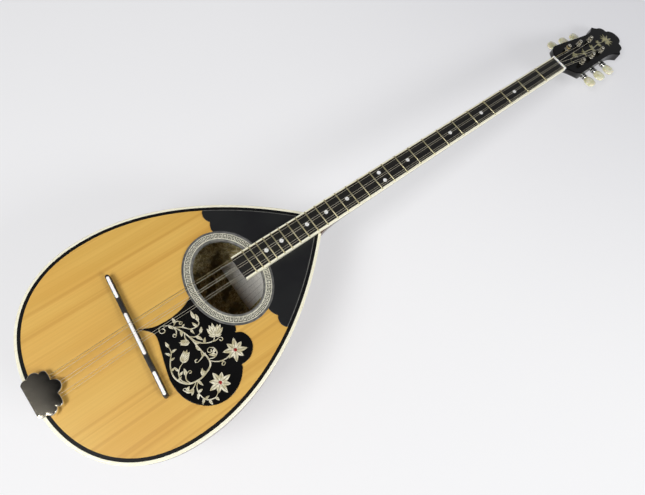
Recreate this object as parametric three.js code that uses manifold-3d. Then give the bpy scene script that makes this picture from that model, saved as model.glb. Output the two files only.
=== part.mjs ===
// A Greek bouzouki with three courses of strings, lying on its back on a table, in millimetres.
// Instrument frame: X runs along the neck towards the head, Y towards the bass side and Z out of the
// face. Its origin lies under the nut's string edge, on the plane of the soundboard's top.
import * as THREE from "three";
import { mergeVertices } from "three/addons/utils/BufferGeometryUtils.js";
import Module from "manifold-3d";

const wasm = await Module();
wasm.setup();

// Driving dimensions: strings and frets
const SCALE_LENGTH = 670;
const FRETS_AN_OCTAVE = 12;
const FRET_COUNT = 26;
const COURSES = 3;
const NUT_COURSE_PITCH = 8.7;
const NUT_PAIR_PITCH = 2;
const BRIDGE_COURSE_PITCH = 11.2;
const BRIDGE_PAIR_PITCH = 2.8;
const HOOK_COURSE_PITCH = 11.6;
const HOOK_PAIR_PITCH = 3.6;
const STRING_DIAMETERS = [0.6, 0.4, 0.44, 0.44, 0.36, 0.36];

// Driving dimensions: what all pieces share
const CLEARANCE = 0.3;
const OVERRUN = 2;
const WELD = 0.2;
const MERGE_DISTANCE = 1e-4;

// Driving dimensions: body
const BODY_WIDTH = 263;
const BODY_DEPTH = 140;
const TAIL_REACH = 111.5;
const ROUND_LENGTH = 127;
const BOWL_HEEL_DEPTH = 42;
const BOWL_WALL = 2.6;
const STAVE_COUNT = 21;
const BOARD_THICKNESS = 3;
const BINDING_WIDTH = 4.2;
const PURFLING_WIDTH = 3;
const PURFLING_DEPTH = 1;
const NECK_BLOCK_LENGTH = 48;
const TAIL_BLOCK_LENGTH = 26;
const LINING_WIDTH = 6;
const LINING_END_STATIONS = 0.15;
const BRACE_WIDTH = 7;
const BRACE_DEPTH = 11;
const BRACE_END_DEPTH = 4;
const TAIL_BRACE_TO_BRIDGE = 28;

// Driving dimensions: sound hole, ring and guards
const HOLE_TO_BOARD_END = 14.7;
const HOLE_TO_JOINT = 118.7;
const HOLE_LENGTH = 71.4;
const HOLE_WIDTH = 94.6;
const RING_BAND = 12;
const TRIM_THICKNESS = 0.8;
const UPPER_GUARD_TO_HOLE = 20.2;
const PICKGUARD_TO_BRIDGE = 4.8;
const PICKGUARD_TO_EDGE = 20.5;

// Driving dimensions: label under the sound hole
const LABEL_TO_HOLE = 64.7;
const LABEL_LENGTH = 50;
const LABEL_WIDTH = 58;
const LABEL_OFFSET = 13;
const LABEL_THICKNESS = 0.5;

// Driving dimensions: fretboard, frets, nut and neck
const FRETBOARD_MARGIN = 14.2;
const FRETBOARD_THICKNESS = 5;
const FRETBOARD_NUT_WIDTH = 24.6;
const FRETBOARD_END_WIDTH = 31.8;
const FRETBOARD_BINDING_WIDTH = 2.2;
const FRET_WIDTH = 2.2;
const FRET_CROWN_WIDTH = 1.1;
const FRET_HEIGHT = 1;
const FRET_END_INSET = 0.3;
const NUT_THICKNESS = 5;
const NUT_RISE = 1.2;
const NUT_SLOPE_DROP = 1.6;
const NECK_DEPTH_AT_NUT = 14.5;
const NECK_DEPTH_AT_BODY = 18;
const HEEL_LENGTH = 62;

// Driving dimensions: bridge
const BRIDGE_SHIFT = 5.5;
const BRIDGE_SLANT = THREE.MathUtils.degToRad(6.1);
const BRIDGE_LENGTH = 150;
const BRIDGE_WIDTH = 7;
const BRIDGE_HEIGHT = 8.4;
const BRIDGE_FOOT_LENGTH = 34;
const BRIDGE_ARCH = 2.6;
const SADDLE_LENGTH = 50;
const SADDLE_THICKNESS = 3;
const SADDLE_RISE = 2.4;
const TIP_LENGTH = 27.5;
const TIP_END_MARGIN = 2.5;
const TIP_RISE = 0.5;
const BONE_SEAT_DEPTH = 2;

// Driving dimensions: headstock
const HEAD_PITCH = THREE.MathUtils.degToRad(13);
const HEAD_LENGTH = 161;
const HEAD_WIDTH = 60.4;
const HEAD_THICKNESS = 11;
const OVERLAY_THICKNESS = 1.5;

// Driving dimensions: tuning machines
const POST_FIRST = 36;
const POST_PITCH = 28.6;
const POST_LINE_OFFSET = 16.4;
const MACHINE_TOE = THREE.MathUtils.degToRad(2.9);
const POST_RADIUS = 3;
const POST_HEIGHT = 12;
const POST_WAIST_DEPTH = 0.4;
const POST_TIP_RADIUS = 2.2;
const POST_TIP_HEIGHT = 0.8;
const PLATE_THICKNESS = 1;
const PLATE_MARGIN = 12.5;
const PLATE_INNER_WIDTH = 8.5;
const PLATE_OUTER_WIDTH = 11;
const PLATE_HOLE_CLEARANCE = 0.4;
const WHEEL_TEETH = 14;
const WHEEL_RADIUS = 7;
const WHEEL_TOOTH_DEPTH = 0.9;
const WHEEL_THICKNESS = 4;
const WORM_RADIUS = 2.5;
const WORM_ROOT_RADIUS = 1.8;
const WORM_LENGTH = 8.4;
const WORM_RIDGES = 4;
const JOURNAL_RADIUS = 1.5;
const LUG_THICKNESS = 1.4;
const LUG_WIDTH = 6;
const SHAFT_COLLAR_RADIUS = 2.6;
const SHAFT_COLLAR_LENGTH = 2.4;
const SHAFT_REACH = 19;
const BUTTON_LENGTH = 13.5;
const BUTTON_WIDTH = 18;
const BUTTON_THICKNESS = 6.5;
const BUTTON_NECK_RADIUS = 2.4;

// Driving dimensions: screws
const PLATE_SCREW = { shankRadius: 1.1, headRadius: 2.1, headHeight: 1.4, length: 8, margin: 3 };
const TAIL_SCREW = { shankRadius: 1.5, headRadius: 3.1, headHeight: 2.2, length: 21 };
const TAIL_SCREW_PITCH = 12;
const TAIL_SCREW_DROP = 16;

// Driving dimensions: string windings on the posts
const WINDING_TURNS = 2;
const WINDING_STEPS = 24;
const WINDING_PITCH = 1.3;
const WINDING_HEIGHT = 3.4;
const STRING_SIDES = 6;

// Driving dimensions: tailpiece
const TAILPIECE_PLATE = 1.2;
const TAILPIECE_BASE_LENGTH = 20;
const TAILPIECE_BASE_WIDTH = 33;
const TAILPIECE_DROP = 30;
const TAILPIECE_DROP_WIDTH = 22;
const HOOK_SETBACK = 4;
const HOOK_WIDTH = 1.8;
const HOOK_HEIGHT = 4.4;
const STRING_LOOP_HEIGHT = 2.8;
const COVER_LENGTH = 33;
const COVER_OVERHANG = 2;
const COVER_WIDTH = 49;
const COVER_SHEET = 0.9;
const COVER_HEIGHT = 7.2;
const COVER_CROWN = 1.6;
const COVER_SKIRT_GAP = 0.8;
const COVER_STRING_ROOM = 1;

// Body shape exponents and shares
const ROUND_POWER = 2.3;
const TAPER_POWER = 1.9;
const TAPER_ROOT = 0.96;
const TAPER_JOINT_SHARE = 0.935;
const TAPER_LIMIT_SHARE = 0.985;
const ROUND_SHARE = 0.45;
const SECTION_POWER = 2.15;
const SPINE_POWER = 1.8;
const NECK_SECTION_POWER = 2.2;
const HEEL_POWER = 2.2;

// Facet counts
const OUTLINE_STEPS = 34;
const BOWL_STEPS = 22;
const ELLIPSE_STEPS = 36;
const ARC_STEPS = 5;
const SEARCH_ROUNDS = 40;
const ROUND_SIDES = 10;
const SHAFT_SIDES = 8;
const NECK_SIDES = 12;
const BUTTON_SIDES = 12;

// Outlines as shares, chosen by hand
// The head: along its length, and half its width
const HEAD_SHARES = [
  [0, 0.412], [0.02, 0.43], [0.075, 0.77], [0.125, 0.91], [0.17, 0.92], [0.32, 0.87],
  [0.5, 0.795], [0.62, 0.765], [0.68, 0.775], [0.74, 0.845], [0.8, 1],
];
// The scallops of its top: cusps, and the height share of the arc that ends at each
const HEAD_SCALLOP_SHARES = [
  [0.872, 0.81, -0.1], [0.918, 0.53, 0.16], [0.93, 0.44, -0.2], [1, 0, 0.2],
];
// The pickguard, from the ring's centre: towards the tail, and towards the treble side
const PICKGUARD_UPPER_SHARES = [
  [1, -0.04], [0.88, 0.018], [0.777, 0.036], [0.663, 0.036], [0.557, 0.018], [0.48, -0.01], [0.4, -0.05],
];
const PICKGUARD_LOWER_SHARES = [
  [0.21, 0.42], [0.24, 0.5], [0.262, 0.515], [0.2, 0.56], [0.174, 0.645], [0.198, 0.73],
  [0.28, 0.802], [0.384, 0.815], [0.405, 0.86], [0.5, 0.95], [0.622, 1], [0.755, 0.994],
  [0.876, 0.93], [0.968, 0.816], [1.008, 0.69], [1.01, 0.55], [0.975, 0.4], [0.935, 0.265],
  [0.905, 0.16], [0.9, 0.09], [0.93, 0.035],
];
// The upper guard's lobes: distances from the centre line, as shares of the body's half width
const UPPER_GUARD_CUSP_SHARES = [0.52, 0.35];
const UPPER_GUARD_BULGE_SHARE = 0.19;
// The tailpiece cover: from its rear edge, and half its width, and the height share of the lobe
// that ends at each of its other corners
const COVER_REAR_SHARES = [[0, 0.8], [0.29, 0.92]];
const COVER_LOBE_SHARES = [[0.62, 0.816, 0.29], [0.806, 0.345, 0.26], [0.806, -0.345, 0.385]];

// Places worked out from the dimensions
const fretX = (number) => -SCALE_LENGTH * (1 - 2 ** (-number / FRETS_AN_OCTAVE));
const FRETBOARD_LENGTH = FRETBOARD_MARGIN - fretX(FRET_COUNT);
const HOLE_X = -(FRETBOARD_LENGTH + HOLE_TO_BOARD_END);
const JOINT_X = HOLE_X + HOLE_TO_JOINT;
const NECK_LENGTH = -JOINT_X;
const TAIL_X = -(SCALE_LENGTH + TAIL_REACH);
const WIDEST_X = TAIL_X + ROUND_LENGTH;
const TAPER_LENGTH = (JOINT_X - WIDEST_X) / TAPER_JOINT_SHARE;
const RIM_Z = -(BOARD_THICKNESS + CLEARANCE);
const BOARD_INSET = BINDING_WIDTH + CLEARANCE;
const BOARD_FRONT_X = JOINT_X - CLEARANCE;
const TRIM_TOP = CLEARANCE + TRIM_THICKNESS;
const NECK_TOP = TRIM_TOP;
const FRETBOARD_BOTTOM = NECK_TOP + CLEARANCE;
const FRETBOARD_TOP = FRETBOARD_BOTTOM + FRETBOARD_THICKNESS;
const NUT_TOP = FRETBOARD_TOP + NUT_RISE;
const BRIDGE_X = -(SCALE_LENGTH - BRIDGE_SHIFT);
const TIP_START = BRIDGE_LENGTH / 2 - TIP_END_MARGIN - TIP_LENGTH;
const RING_LENGTH = HOLE_LENGTH + 2 * RING_BAND;
const RING_WIDTH = HOLE_WIDTH + 2 * RING_BAND;
const PICKGUARD_REACH = HOLE_X - BRIDGE_X - PICKGUARD_TO_BRIDGE;
const PICKGUARD_WIDTH = BODY_WIDTH / 2 - PICKGUARD_TO_EDGE;
const BRIDGE_TOP = CLEARANCE + BRIDGE_HEIGHT;
const SADDLE_TOP = BRIDGE_TOP + SADDLE_RISE;
const HEAD_START_X = NUT_THICKNESS + CLEARANCE;
const HEAD_START_Z = NECK_TOP - CLEARANCE;
const OVERLAY_TOP = CLEARANCE + OVERLAY_THICKNESS;
const PLATE_TOP = -(HEAD_THICKNESS + CLEARANCE);
const WORM_DEPTH = PLATE_TOP - PLATE_THICKNESS - CLEARANCE - WORM_RADIUS;
const WORM_OFFSET = WHEEL_RADIUS + CLEARANCE + WORM_RADIUS;
const STRING_COUNT = 2 * COURSES;
const stringNumbers = Array.from({ length: STRING_COUNT }, (_, i) => i);
const POSTS_A_SIDE = STRING_COUNT / 2;
const TAIL_PLATE_X = TAIL_X - CLEARANCE - TAILPIECE_PLATE;
const TAIL_PLATE_TOP = CLEARANCE + TAILPIECE_PLATE;
const HOOK_X = TAIL_PLATE_X + TAILPIECE_BASE_LENGTH - HOOK_SETBACK;
const STRING_LOOP_Z = TAIL_PLATE_TOP + STRING_LOOP_HEIGHT;
const TAIL_SLOPE = (SADDLE_TOP - STRING_LOOP_Z) / (BRIDGE_X - HOOK_X);

// Materials
const paint = (color, roughness, metalness = 0) =>
  new THREE.MeshStandardMaterial({ color, roughness, metalness });
const spruce = paint("#d3a556", 0.45);
const walnut = paint("#5a3520", 0.4);
const innerWood = paint("#b98d55", 0.7);
const blackWood = paint("#1f1e1d", 0.4);
const blackLacquer = paint("#17171a", 0.25);
const ivoroid = paint("#e9e6c2", 0.4);
const bone = paint("#f1efe6", 0.45);
const silverTrim = paint("#a4a498", 0.4, 0.5);
const chrome = paint("#c9cacb", 0.2, 1);
const pearlButton = paint("#dcd8ae", 0.3);
const steel = paint("#b8b8b4", 0.35, 1);
const bronzeWound = paint("#b3a182", 0.4, 1);
const paper = paint("#a8a8a6", 0.8);

// A closed geometry as a solid that can be cut and joined
function toSolid(geometry) {
  const loose = geometry.index ? geometry.toNonIndexed() : geometry;
  const bare = new THREE.BufferGeometry();
  bare.setAttribute("position", loose.getAttribute("position"));
  const merged = mergeVertices(bare, MERGE_DISTANCE);
  return new wasm.Manifold(new wasm.Mesh({
    numProp: 3,
    vertProperties: merged.attributes.position.array,
    triVerts: new Uint32Array(merged.index.array),
  }));
}

// A solid as a geometry again
function toGeometry(solid) {
  const mesh = solid.getMesh();
  const geometry = new THREE.BufferGeometry();
  geometry.setAttribute("position", new THREE.BufferAttribute(new Float32Array(mesh.vertProperties), 3));
  geometry.setIndex(new THREE.BufferAttribute(new Uint32Array(mesh.triVerts), 1));
  return geometry;
}

// The geometry with the others joined to it
function join(geometry, others) {
  return toGeometry(others.reduce((solid, other) => solid.add(toSolid(other)), toSolid(geometry)));
}

// The geometry with the cutters taken out of it
function cut(geometry, cutters) {
  return toGeometry(cutters.reduce((solid, cutter) => solid.subtract(toSolid(cutter)), toSolid(geometry)));
}

// A named mesh in a group
function addPart(parent, name, geometry, material) {
  const mesh = new THREE.Mesh(geometry, material);
  mesh.name = name;
  parent.add(mesh);
  return mesh;
}

// A flat plate of an outline, between two heights
function slab(shape, bottom, top) {
  const geometry = new THREE.ExtrudeGeometry(shape, { depth: top - bottom, bevelEnabled: false });
  return geometry.translate(0, 0, bottom);
}

// A straight block between two corners
function block(low, high) {
  const size = new THREE.Vector3().subVectors(high, low);
  const centre = new THREE.Vector3().addVectors(high, low).divideScalar(2);
  return new THREE.BoxGeometry(size.x, size.y, size.z).translate(centre.x, centre.y, centre.z);
}

// A round bar along Z between two heights
function bar(radius, bottom, top, sides = ROUND_SIDES) {
  const geometry = new THREE.CylinderGeometry(radius, radius, top - bottom, sides);
  return geometry.rotateX(Math.PI / 2).translate(0, 0, (top + bottom) / 2);
}

// A turned piece on Z, from a profile of radius and height pairs that starts and ends on the axis
function turned(profile, sides) {
  const points = profile.map(([radius, height]) => new THREE.Vector2(radius, height));
  return new THREE.LatheGeometry(points, sides).rotateX(Math.PI / 2);
}

// A closed geometry from a list of triangles, each three points; those with no area are left out
function fromTriangles(triangles) {
  const whole = triangles.filter(([a, b, c]) => !a.equals(b) && !b.equals(c) && !c.equals(a));
  return new THREE.BufferGeometry().setFromPoints(whole.flat());
}

// The two triangles of a four-cornered face
const quad = (a, b, c, d) => [[a, b, c], [a, c, d]];

// A solid through rings of points, each ring anticlockwise when seen against the way of travel
function loft(rings) {
  const triangles = [];
  const count = rings[0].length;
  for (let i = 0; i < rings.length - 1; i++) {
    for (let j = 0; j < count; j++) {
      const next = (j + 1) % count;
      triangles.push(...quad(rings[i][j], rings[i][next], rings[i + 1][next], rings[i + 1][j]));
    }
  }
  const first = rings[0];
  const last = rings[rings.length - 1];
  for (let j = 1; j < count - 1; j++) {
    triangles.push([first[0], first[j + 1], first[j]]);
    triangles.push([last[0], last[j], last[j + 1]]);
  }
  return fromTriangles(triangles);
}

// The same geometry on the other side of the neck's centre plane
function mirrored(geometry) {
  const loose = (geometry.index ? geometry.toNonIndexed() : geometry).clone().scale(1, -1, 1);
  const position = loose.getAttribute("position");
  const corner = (index) => new THREE.Vector3().fromBufferAttribute(position, index);
  const triangles = [];
  for (let i = 0; i < position.count; i += 3) {
    triangles.push([corner(i), corner(i + 2), corner(i + 1)]);
  }
  return fromTriangles(triangles);
}

// An unbroken round tube through points, with its section carried along without twist
function tube(points, radius, sides) {
  const directions = points.map((point, i) => {
    const before = points[Math.max(i - 1, 0)];
    const after = points[Math.min(i + 1, points.length - 1)];
    return new THREE.Vector3().subVectors(after, before).normalize();
  });
  let normal = new THREE.Vector3(0, 0, 1);
  const rings = points.map((point, i) => {
    normal = normal.clone().addScaledVector(directions[i], -normal.dot(directions[i])).normalize();
    const binormal = new THREE.Vector3().crossVectors(directions[i], normal);
    return Array.from({ length: sides }, (_, j) => {
      const angle = (2 * Math.PI * j) / sides;
      return point.clone()
        .addScaledVector(normal, radius * Math.cos(angle))
        .addScaledVector(binormal, radius * Math.sin(angle));
    });
  });
  return loft(rings);
}

// A power that keeps its sign
const signedPower = (value, power) => Math.sign(value) * Math.abs(value) ** power;

// The body's outline on the bass side: 0 is the tail and 1 the neck joint
function outlinePoint(share) {
  const halfWidth = BODY_WIDTH / 2;
  if (share < ROUND_SHARE) {
    const angle = (Math.PI / 2) * (share / ROUND_SHARE);
    return new THREE.Vector2(
      WIDEST_X - ROUND_LENGTH * signedPower(Math.cos(angle), 2 / ROUND_POWER),
      halfWidth * signedPower(Math.sin(angle), 2 / ROUND_POWER),
    );
  }
  const pastWidest = (share - ROUND_SHARE) / (1 - ROUND_SHARE);
  const along = Math.min(TAPER_JOINT_SHARE * pastWidest, TAPER_LIMIT_SHARE);
  return new THREE.Vector2(
    WIDEST_X + TAPER_LENGTH * along,
    halfWidth * (1 - along ** TAPER_POWER) ** TAPER_ROOT,
  );
}

// The way out of the body at a place on its outline
function outlineNormal(share) {
  const step = 1e-3;
  const after = outlinePoint(share + step);
  const along = after.sub(outlinePoint(share - step)).normalize();
  return new THREE.Vector2(-along.y, along.x);
}

// The outline moved inwards, from the tail to where it reaches frontX
function edgePoints(inset, frontX) {
  const points = [];
  for (let i = 0; ; i++) {
    const share = i / OUTLINE_STEPS;
    const point = outlinePoint(share).addScaledVector(outlineNormal(share), -inset);
    if (point.x >= frontX) {
      const before = points[points.length - 1];
      const part = (frontX - before.x) / (point.x - before.x);
      points.push(before.clone().lerp(point, part));
      return points;
    }
    points.push(point);
  }
}

// The outline's half width at a place along the neck line
function halfWidthAt(x, inset) {
  const points = edgePoints(inset, JOINT_X - inset);
  const index = points.findIndex((point, i) => i > 0 && point.x >= x);
  const before = points[index - 1];
  const part = (x - before.x) / (points[index].x - before.x);
  return before.y + part * (points[index].y - before.y);
}

const flip = (point) => new THREE.Vector2(point.x, -point.y);

// The whole plan of the body, moved inwards
function bodyShape(inset, frontX) {
  const bass = edgePoints(inset, frontX);
  const treble = bass.slice(1).map(flip);
  return new THREE.Shape([...bass.reverse(), ...treble]);
}

// A band that follows the outline, open at the neck
function bandShape(outerInset, innerInset, frontX) {
  const outer = edgePoints(outerInset, frontX);
  const inner = edgePoints(innerInset, frontX);
  const outerTreble = outer.slice(1).map(flip);
  const innerTreble = inner.slice(1).map(flip);
  return new THREE.Shape([...outer.reverse(), ...outerTreble, ...innerTreble.reverse(), ...inner]);
}

// An ellipse about the sound hole's centre
function holeEllipse(length, width) {
  const points = Array.from({ length: ELLIPSE_STEPS }, (_, i) => {
    const angle = (2 * Math.PI * i) / ELLIPSE_STEPS;
    return new THREE.Vector2(HOLE_X + (length / 2) * Math.cos(angle), (width / 2) * Math.sin(angle));
  });
  return points;
}

// Points of the circle's arc between two cusps, the first cusp left out. Its height over the chord
// is a share of the chord, to the left of the way of travel
function arcPoints(from, to, heightShare) {
  const chord = new THREE.Vector2().subVectors(to, from);
  const left = new THREE.Vector2(-chord.y, chord.x);
  const halfAngle = 2 * Math.atan(2 * heightShare);
  return Array.from({ length: ARC_STEPS }, (_, i) => {
    const angle = halfAngle * ((2 * (i + 1)) / ARC_STEPS - 1);
    const along = 0.5 + (0.5 * Math.sin(angle)) / Math.sin(halfAngle);
    const aside = (0.5 * (Math.cos(angle) - Math.cos(halfAngle))) / Math.sin(halfAngle);
    return from.clone().addScaledVector(chord, along).addScaledVector(left, aside);
  });
}

// How deep the bowl is at a place along the neck line
function spineDepth(x) {
  if (x < WIDEST_X) {
    const along = Math.min((WIDEST_X - x) / ROUND_LENGTH, 1);
    return BODY_DEPTH * (1 - along ** ROUND_POWER) ** (1 / ROUND_POWER);
  }
  const along = (x - WIDEST_X) / (JOINT_X - WIDEST_X);
  return BOWL_HEEL_DEPTH + (BODY_DEPTH - BOWL_HEEL_DEPTH) * (1 - along ** SPINE_POWER);
}

// A place on the bowl's outside: along from the tail to the joint, across from the bass rim under
// the bowl to the treble rim
function bowlSurface(along, across) {
  const edge = outlinePoint(along);
  const angle = Math.PI * across;
  return new THREE.Vector3(
    edge.x,
    edge.y * signedPower(Math.cos(angle), 2 / SECTION_POWER),
    RIM_Z - spineDepth(edge.x) * signedPower(Math.sin(angle), 2 / SECTION_POWER),
  );
}

// The same place, moved inwards square to the surface
function bowlPoint(along, across, inset) {
  if (along === 0) {
    return new THREE.Vector3(TAIL_X + inset, 0, RIM_Z);
  }
  const step = 1e-4;
  const alongWay = bowlSurface(along + step, across).sub(bowlSurface(along - step, across));
  const acrossWay = bowlSurface(along, across + step).sub(bowlSurface(along, across - step));
  const outward = alongWay.cross(acrossWay).normalize();
  return bowlSurface(along, across).addScaledVector(outward, -inset);
}

// A row of the bowl's corners across it, at a station counted from the tail; between two stations
// the row lies on the straight lines between their corners
function bowlRow(station, inset) {
  const cornersAt = (whole) => Array.from(
    { length: STAVE_COUNT + 1 }, (_, j) => bowlPoint(whole / BOWL_STEPS, j / STAVE_COUNT, inset),
  );
  const before = cornersAt(Math.floor(station));
  const after = cornersAt(Math.ceil(station));
  return before.map((corner, j) => corner.lerp(after[j], station - Math.floor(station)));
}

// Rows from one station to another, with all the whole stations between them
function bowlRows(start, end, inset) {
  const stations = [start];
  for (let station = Math.floor(start) + 1; station < end; station++) {
    stations.push(station);
  }
  stations.push(end);
  return stations.map((station) => bowlRow(station, inset));
}

// The faces of a skin of rows, facing outwards
function skinFaces(rows) {
  const faces = [];
  for (let i = 0; i < rows.length - 1; i++) {
    for (let j = 0; j < rows[i].length - 1; j++) {
      faces.push(...quad(rows[i][j], rows[i + 1][j], rows[i + 1][j + 1], rows[i][j + 1]));
    }
  }
  return faces;
}

const turnedRound = (faces) => faces.map(([a, b, c]) => [a, c, b]);

// The bowl: staves from the tail to the neck, open on top and at the neck joint
function bowlShell() {
  const outer = bowlRows(0, BOWL_STEPS, 0);
  const inner = bowlRows(0, BOWL_STEPS, BOWL_WALL);
  const faces = [...skinFaces(outer), ...turnedRound(skinFaces(inner))];
  const last = STAVE_COUNT;
  for (let i = 0; i < BOWL_STEPS; i++) {
    faces.push(...quad(outer[i][0], inner[i][0], inner[i + 1][0], outer[i + 1][0]));
    faces.push(...quad(outer[i][last], outer[i + 1][last], inner[i + 1][last], inner[i][last]));
  }
  const outerEnd = outer[BOWL_STEPS];
  const innerEnd = inner[BOWL_STEPS];
  for (let j = 0; j < STAVE_COUNT; j++) {
    faces.push(...quad(outerEnd[j], innerEnd[j], innerEnd[j + 1], outerEnd[j + 1]));
  }
  return fromTriangles(faces);
}

// A block that fills the bowl's inside between two stations
function bowlFiller(start, end) {
  const rows = bowlRows(start, end, BOWL_WALL + CLEARANCE);
  const faces = skinFaces(rows);
  const last = STAVE_COUNT;
  for (let i = 0; i < rows.length - 1; i++) {
    faces.push(...quad(rows[i][last], rows[i + 1][last], rows[i + 1][0], rows[i][0]));
  }
  const first = rows[0];
  const final = rows[rows.length - 1];
  for (let j = 1; j < last; j++) {
    faces.push([first[0], first[j], first[j + 1]]);
    faces.push([final[0], final[j + 1], final[j]]);
  }
  return fromTriangles(faces);
}

// The bowl's station at a place along the neck line
function stationAt(x) {
  let low = 0;
  let high = BOWL_STEPS;
  for (let i = 0; i < SEARCH_ROUNDS; i++) {
    const middle = (low + high) / 2;
    if (outlinePoint(middle / BOWL_STEPS).x < x) {
      low = middle;
    } else {
      high = middle;
    }
  }
  return low;
}

// The strip under the soundboard's edge on the bass side, between two stations
function lining(start, end) {
  const rows = bowlRows(start, end, BOWL_WALL + CLEARANCE);
  const rings = rows.map(([top, lower], i) => {
    const before = rows[Math.max(i - 1, 0)][0];
    const after = rows[Math.min(i + 1, rows.length - 1)][0];
    const along = new THREE.Vector3().subVectors(after, before).normalize();
    const inner = new THREE.Vector3(top.x + along.y * LINING_WIDTH, top.y - along.x * LINING_WIDTH, top.z);
    return [top, inner, lower];
  });
  return loft(rings);
}

// A brace across the soundboard's underside, with its ends cut thin
function brace(x) {
  const inset = BOARD_INSET + BOWL_WALL + LINING_WIDTH;
  const reach = Math.min(halfWidthAt(x - BRACE_WIDTH / 2, inset), halfWidthAt(x + BRACE_WIDTH / 2, inset));
  const shape = new THREE.Shape([
    new THREE.Vector2(-reach, 0),
    new THREE.Vector2(-reach, -BRACE_END_DEPTH),
    new THREE.Vector2(-reach + 2 * BRACE_DEPTH, -BRACE_DEPTH),
    new THREE.Vector2(reach - 2 * BRACE_DEPTH, -BRACE_DEPTH),
    new THREE.Vector2(reach, -BRACE_END_DEPTH),
    new THREE.Vector2(reach, 0),
  ]);
  return slab(shape, -BRACE_WIDTH / 2, BRACE_WIDTH / 2)
    .rotateX(Math.PI / 2)
    .rotateZ(Math.PI / 2)
    .translate(x, 0, RIM_Z);
}

// The corners of a row between two places across it, counted in staves, and those in between
function partOfRow(row, from, to) {
  const at = (place) => {
    const before = Math.floor(place);
    return row[before].clone().lerp(row[Math.ceil(place)], place - before);
  };
  return [at(from), ...row.slice(Math.ceil(from), Math.floor(to) + 1), at(to)];
}

// The paper label on the staves under the sound hole
function label() {
  const endX = HOLE_X + LABEL_TO_HOLE;
  const start = stationAt(endX - LABEL_LENGTH);
  const end = stationAt(endX);
  const middleRow = bowlRow((start + end) / 2, BOWL_WALL);
  const middle = (STAVE_COUNT - 1) / 2;
  const stave = middleRow[middle].distanceTo(middleRow[middle + 1]);
  const first = STAVE_COUNT / 2 - (LABEL_OFFSET + LABEL_WIDTH / 2) / stave;
  const last = STAVE_COUNT / 2 - (LABEL_OFFSET - LABEL_WIDTH / 2) / stave;
  const skin = (inset) => bowlRows(start, end, inset).map((row) => partOfRow(row, first, last));
  const under = skin(BOWL_WALL + CLEARANCE);
  const top = skin(BOWL_WALL + CLEARANCE + LABEL_THICKNESS);
  const faces = [...skinFaces(under), ...turnedRound(skinFaces(top))];
  const rows = under.length - 1;
  const columns = under[0].length - 1;
  for (let i = 0; i < rows; i++) {
    faces.push(...quad(under[i][0], top[i][0], top[i + 1][0], under[i + 1][0]));
    faces.push(...quad(under[i][columns], under[i + 1][columns], top[i + 1][columns], top[i][columns]));
  }
  for (let j = 0; j < columns; j++) {
    faces.push(...quad(under[rows][j], top[rows][j], top[rows][j + 1], under[rows][j + 1]));
    faces.push(...quad(under[0][j], under[0][j + 1], top[0][j + 1], top[0][j]));
  }
  return fromTriangles(faces);
}

// The soundboard, with the sound hole and the step that the purfling lies in
function soundboard() {
  const stepZ = -(PURFLING_DEPTH + CLEARANCE);
  const lower = slab(bodyShape(BOARD_INSET, BOARD_FRONT_X), -BOARD_THICKNESS, stepZ);
  const upperInset = BOARD_INSET + PURFLING_WIDTH + CLEARANCE;
  const upper = slab(bodyShape(upperInset, BOARD_FRONT_X), stepZ - WELD, 0);
  const hole = slab(
    new THREE.Shape(holeEllipse(HOLE_LENGTH, HOLE_WIDTH)),
    -BOARD_THICKNESS - OVERRUN,
    OVERRUN,
  );
  return cut(join(lower, [upper]), [hole]);
}

// The ring round the sound hole
function soundHoleRing() {
  const shape = new THREE.Shape(holeEllipse(RING_LENGTH, RING_WIDTH));
  shape.holes.push(new THREE.Path(holeEllipse(HOLE_LENGTH, HOLE_WIDTH)));
  return slab(shape, CLEARANCE, TRIM_TOP);
}

// What the guards leave free round the ring
function ringCutter() {
  const shape = new THREE.Shape(holeEllipse(RING_LENGTH + 2 * CLEARANCE, RING_WIDTH + 2 * CLEARANCE));
  return slab(shape, CLEARANCE - OVERRUN, TRIM_TOP + OVERRUN);
}

// The upper guard, from the neck down to two lobes a side, under the fretboard
function upperGuard() {
  const inset = BOARD_INSET + PURFLING_WIDTH + CLEARANCE;
  const lowX = HOLE_X + UPPER_GUARD_TO_HOLE;
  const bassEdge = edgePoints(inset, BOARD_FRONT_X).filter((point) => point.x > lowX);
  const outerCusp = new THREE.Vector2(lowX, halfWidthAt(lowX, inset));
  const cusps = UPPER_GUARD_CUSP_SHARES.map((share) => new THREE.Vector2(lowX, (share * BODY_WIDTH) / 2));
  const lobes = [];
  let from = outerCusp;
  for (const cusp of cusps) {
    lobes.push(...arcPoints(from, cusp, -UPPER_GUARD_BULGE_SHARE));
    from = cusp;
  }
  const bass = [...bassEdge.reverse(), outerCusp, ...lobes];
  const treble = bass.map(flip).reverse();
  return cut(slab(new THREE.Shape([...bass, ...treble]), CLEARANCE, TRIM_TOP), [ringCutter()]);
}

// The pickguard on the treble side, from a tip at the bridge to the ring
function pickguard() {
  const place = ([tailward, trebleward]) =>
    new THREE.Vector2(HOLE_X - tailward * PICKGUARD_REACH, -trebleward * PICKGUARD_WIDTH);
  const upper = PICKGUARD_UPPER_SHARES.map(place);
  const lower = PICKGUARD_LOWER_SHARES.map(place);
  const inside = new THREE.Vector2(HOLE_X, 0);
  const shape = new THREE.Shape([...upper, inside, ...lower]);
  return cut(slab(shape, CLEARANCE, TRIM_TOP), [ringCutter()]);
}

// Half the fretboard's width at a place, with its bindings
function fretboardHalfWidth(x) {
  const share = -x / FRETBOARD_LENGTH;
  return (FRETBOARD_NUT_WIDTH + (FRETBOARD_END_WIDTH - FRETBOARD_NUT_WIDTH) * share) / 2;
}

// A bar across the neck with a given section of X and Z places, anticlockwise seen from the bass side
function crossBar(section, halfLength) {
  const ring = (y) => section.map(([x, z]) => new THREE.Vector3(x, y, z));
  return loft([ring(-halfLength), ring(halfLength)]);
}

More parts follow.
